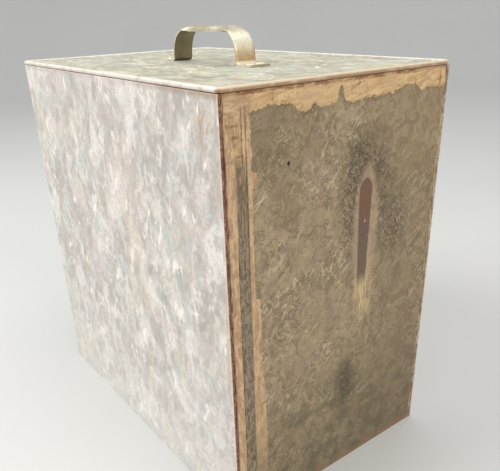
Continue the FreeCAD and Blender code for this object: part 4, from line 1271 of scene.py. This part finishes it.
def area_light(name, at, aim, size, power, colour):
    data = bpy.data.lights.new(name, "AREA")
    data.shape, data.size, data.energy, data.color = "DISK", size, power, colour
    made = bpy.data.objects.new(name, data)
    made.location = at
    made.rotation_euler = (Vector(aim) - Vector(at)).to_track_quat("-Z", "Y").to_euler()
    bpy.context.scene.collection.objects.link(made)


def make_stage():
    """A pale floor that sweeps up into a wall on all sides, and soft light from three sides."""
    surface = Surface()
    flat, sweep = 3.2, 1.6
    angles = [QUARTER * k / 10 for k in range(1, 11)]
    profile = [(0.4, 0), (1.0, 0), (2.0, 0), (flat, 0)]
    profile += [(flat + sweep * math.sin(angle), sweep - sweep * math.cos(angle)) for angle in angles]
    profile.append((flat + sweep, 2.2))
    rows = turned(surface, profile, 72, lambda reach, z, a: (math.cos(a) * reach, math.sin(a) * reach, z))
    surface.join(rows, closed=True)
    surface.fan(surface.add((0, 0, 0)), rows[0] + rows[0][:1])
    floor = surface.build("floor")
    floor.data.materials.append(floor_material())
    world = bpy.data.worlds.new("studio")
    world.use_nodes = True
    background = world.node_tree.nodes["Background"]
    background.inputs["Color"].default_value = (0.90, 0.91, 0.93, 1)
    background.inputs["Strength"].default_value = 0.80
    bpy.context.scene.world = world
    bpy.context.scene.view_settings.view_transform = "Standard"
    area_light("key", (-0.75, -1.55, 1.75), (0, 0, 0.25), 1.3, 36, (1, 0.99, 0.97))
    area_light("fill", (1.9, 0.3, 1.2), (0, 0, 0.2), 1.6, 16, (1, 0.94, 0.85))
    area_light("top", (0.2, 0.5, 2.2), (0, 0, 0.4), 1.4, 8, (1, 1, 0.97))


def main():
    make_camera()
    cool, warm = (((170, 178, 184), 0.5),), (((178, 160, 132), 0.5),)
    inner = galvanised("inner_galvanised", (142, 144, 142), (186, 188, 184), cool, 16 * MM, 0.42, 0.6)
    tray = galvanised("tray_galvanised", (150, 150, 144), (190, 188, 178), cool, 11 * MM, 0.4, 0.6)
    base = galvanised("base_galvanised", (120, 112, 98), (166, 156, 138), warm, 14 * MM, 0.6, 0.3)
    felt = grainy("felt_matted", (94, 82, 68), (164, 146, 122), mm(3, 2.4, 6), 0.92, 0.5 * MM)
    gasket = grainy("felt_pressed", (98, 84, 66), (142, 128, 102), mm(4, 4, 4), 0.9, 0.3 * MM)
    cork = grainy("cork_board", (96, 66, 40), (168, 124, 80), mm(7, 7, 7), 0.9, 0.4 * MM)
    along, across = mm(140, 14, 14), mm(14, 140, 14)
    ways = tuple(enumerate((along, across)))
    pines = [grainy(f"pine_{n}", (150, 112, 68), (206, 172, 118), way, 0.7) for n, way in ways]
    woods = [grainy(f"ash_{n}", (128, 100, 68), (188, 160, 118), way, 0.75) for n, way in ways]
    rubber = grainy("red_rubber", (92, 42, 32), (134, 66, 50), mm(8, 8, 8), 0.6, 0.1 * MM)
    brass = grainy("old_brass", (120, 96, 52), (178, 148, 88), mm(11, 11, 11), 0.4, 0.05 * MM, 0.9)
    iron = grainy("dull_steel", (104, 98, 84), (188, 182, 162), mm(4, 4, 4), 0.45, 0.08 * MM, 0.7)
    make_case(wall_material(), end_material(), seam_material(), felt)
    make_lid(lid_material(), handle_material(), gasket, inner)
    make_inside(inner, tray, pines, woods)
    make_drain(brass, rubber, inner)
    dress(base, "base_pan")
    dress(cork, "cork_bottom", "cork_front", "cork_back", "cork_left_end", "cork_right_end", "lid_cork")
    dress(inner, "tray_ledge_front", "tray_ledge_back", "drain_flange_inner")
    dress(inner, "backing_plate_left", "backing_plate_right", "tray_ears")
    dress(iron, "rim_tacks", "rack_nails", "bail_left", "bail_right")
    make_stage()


main()
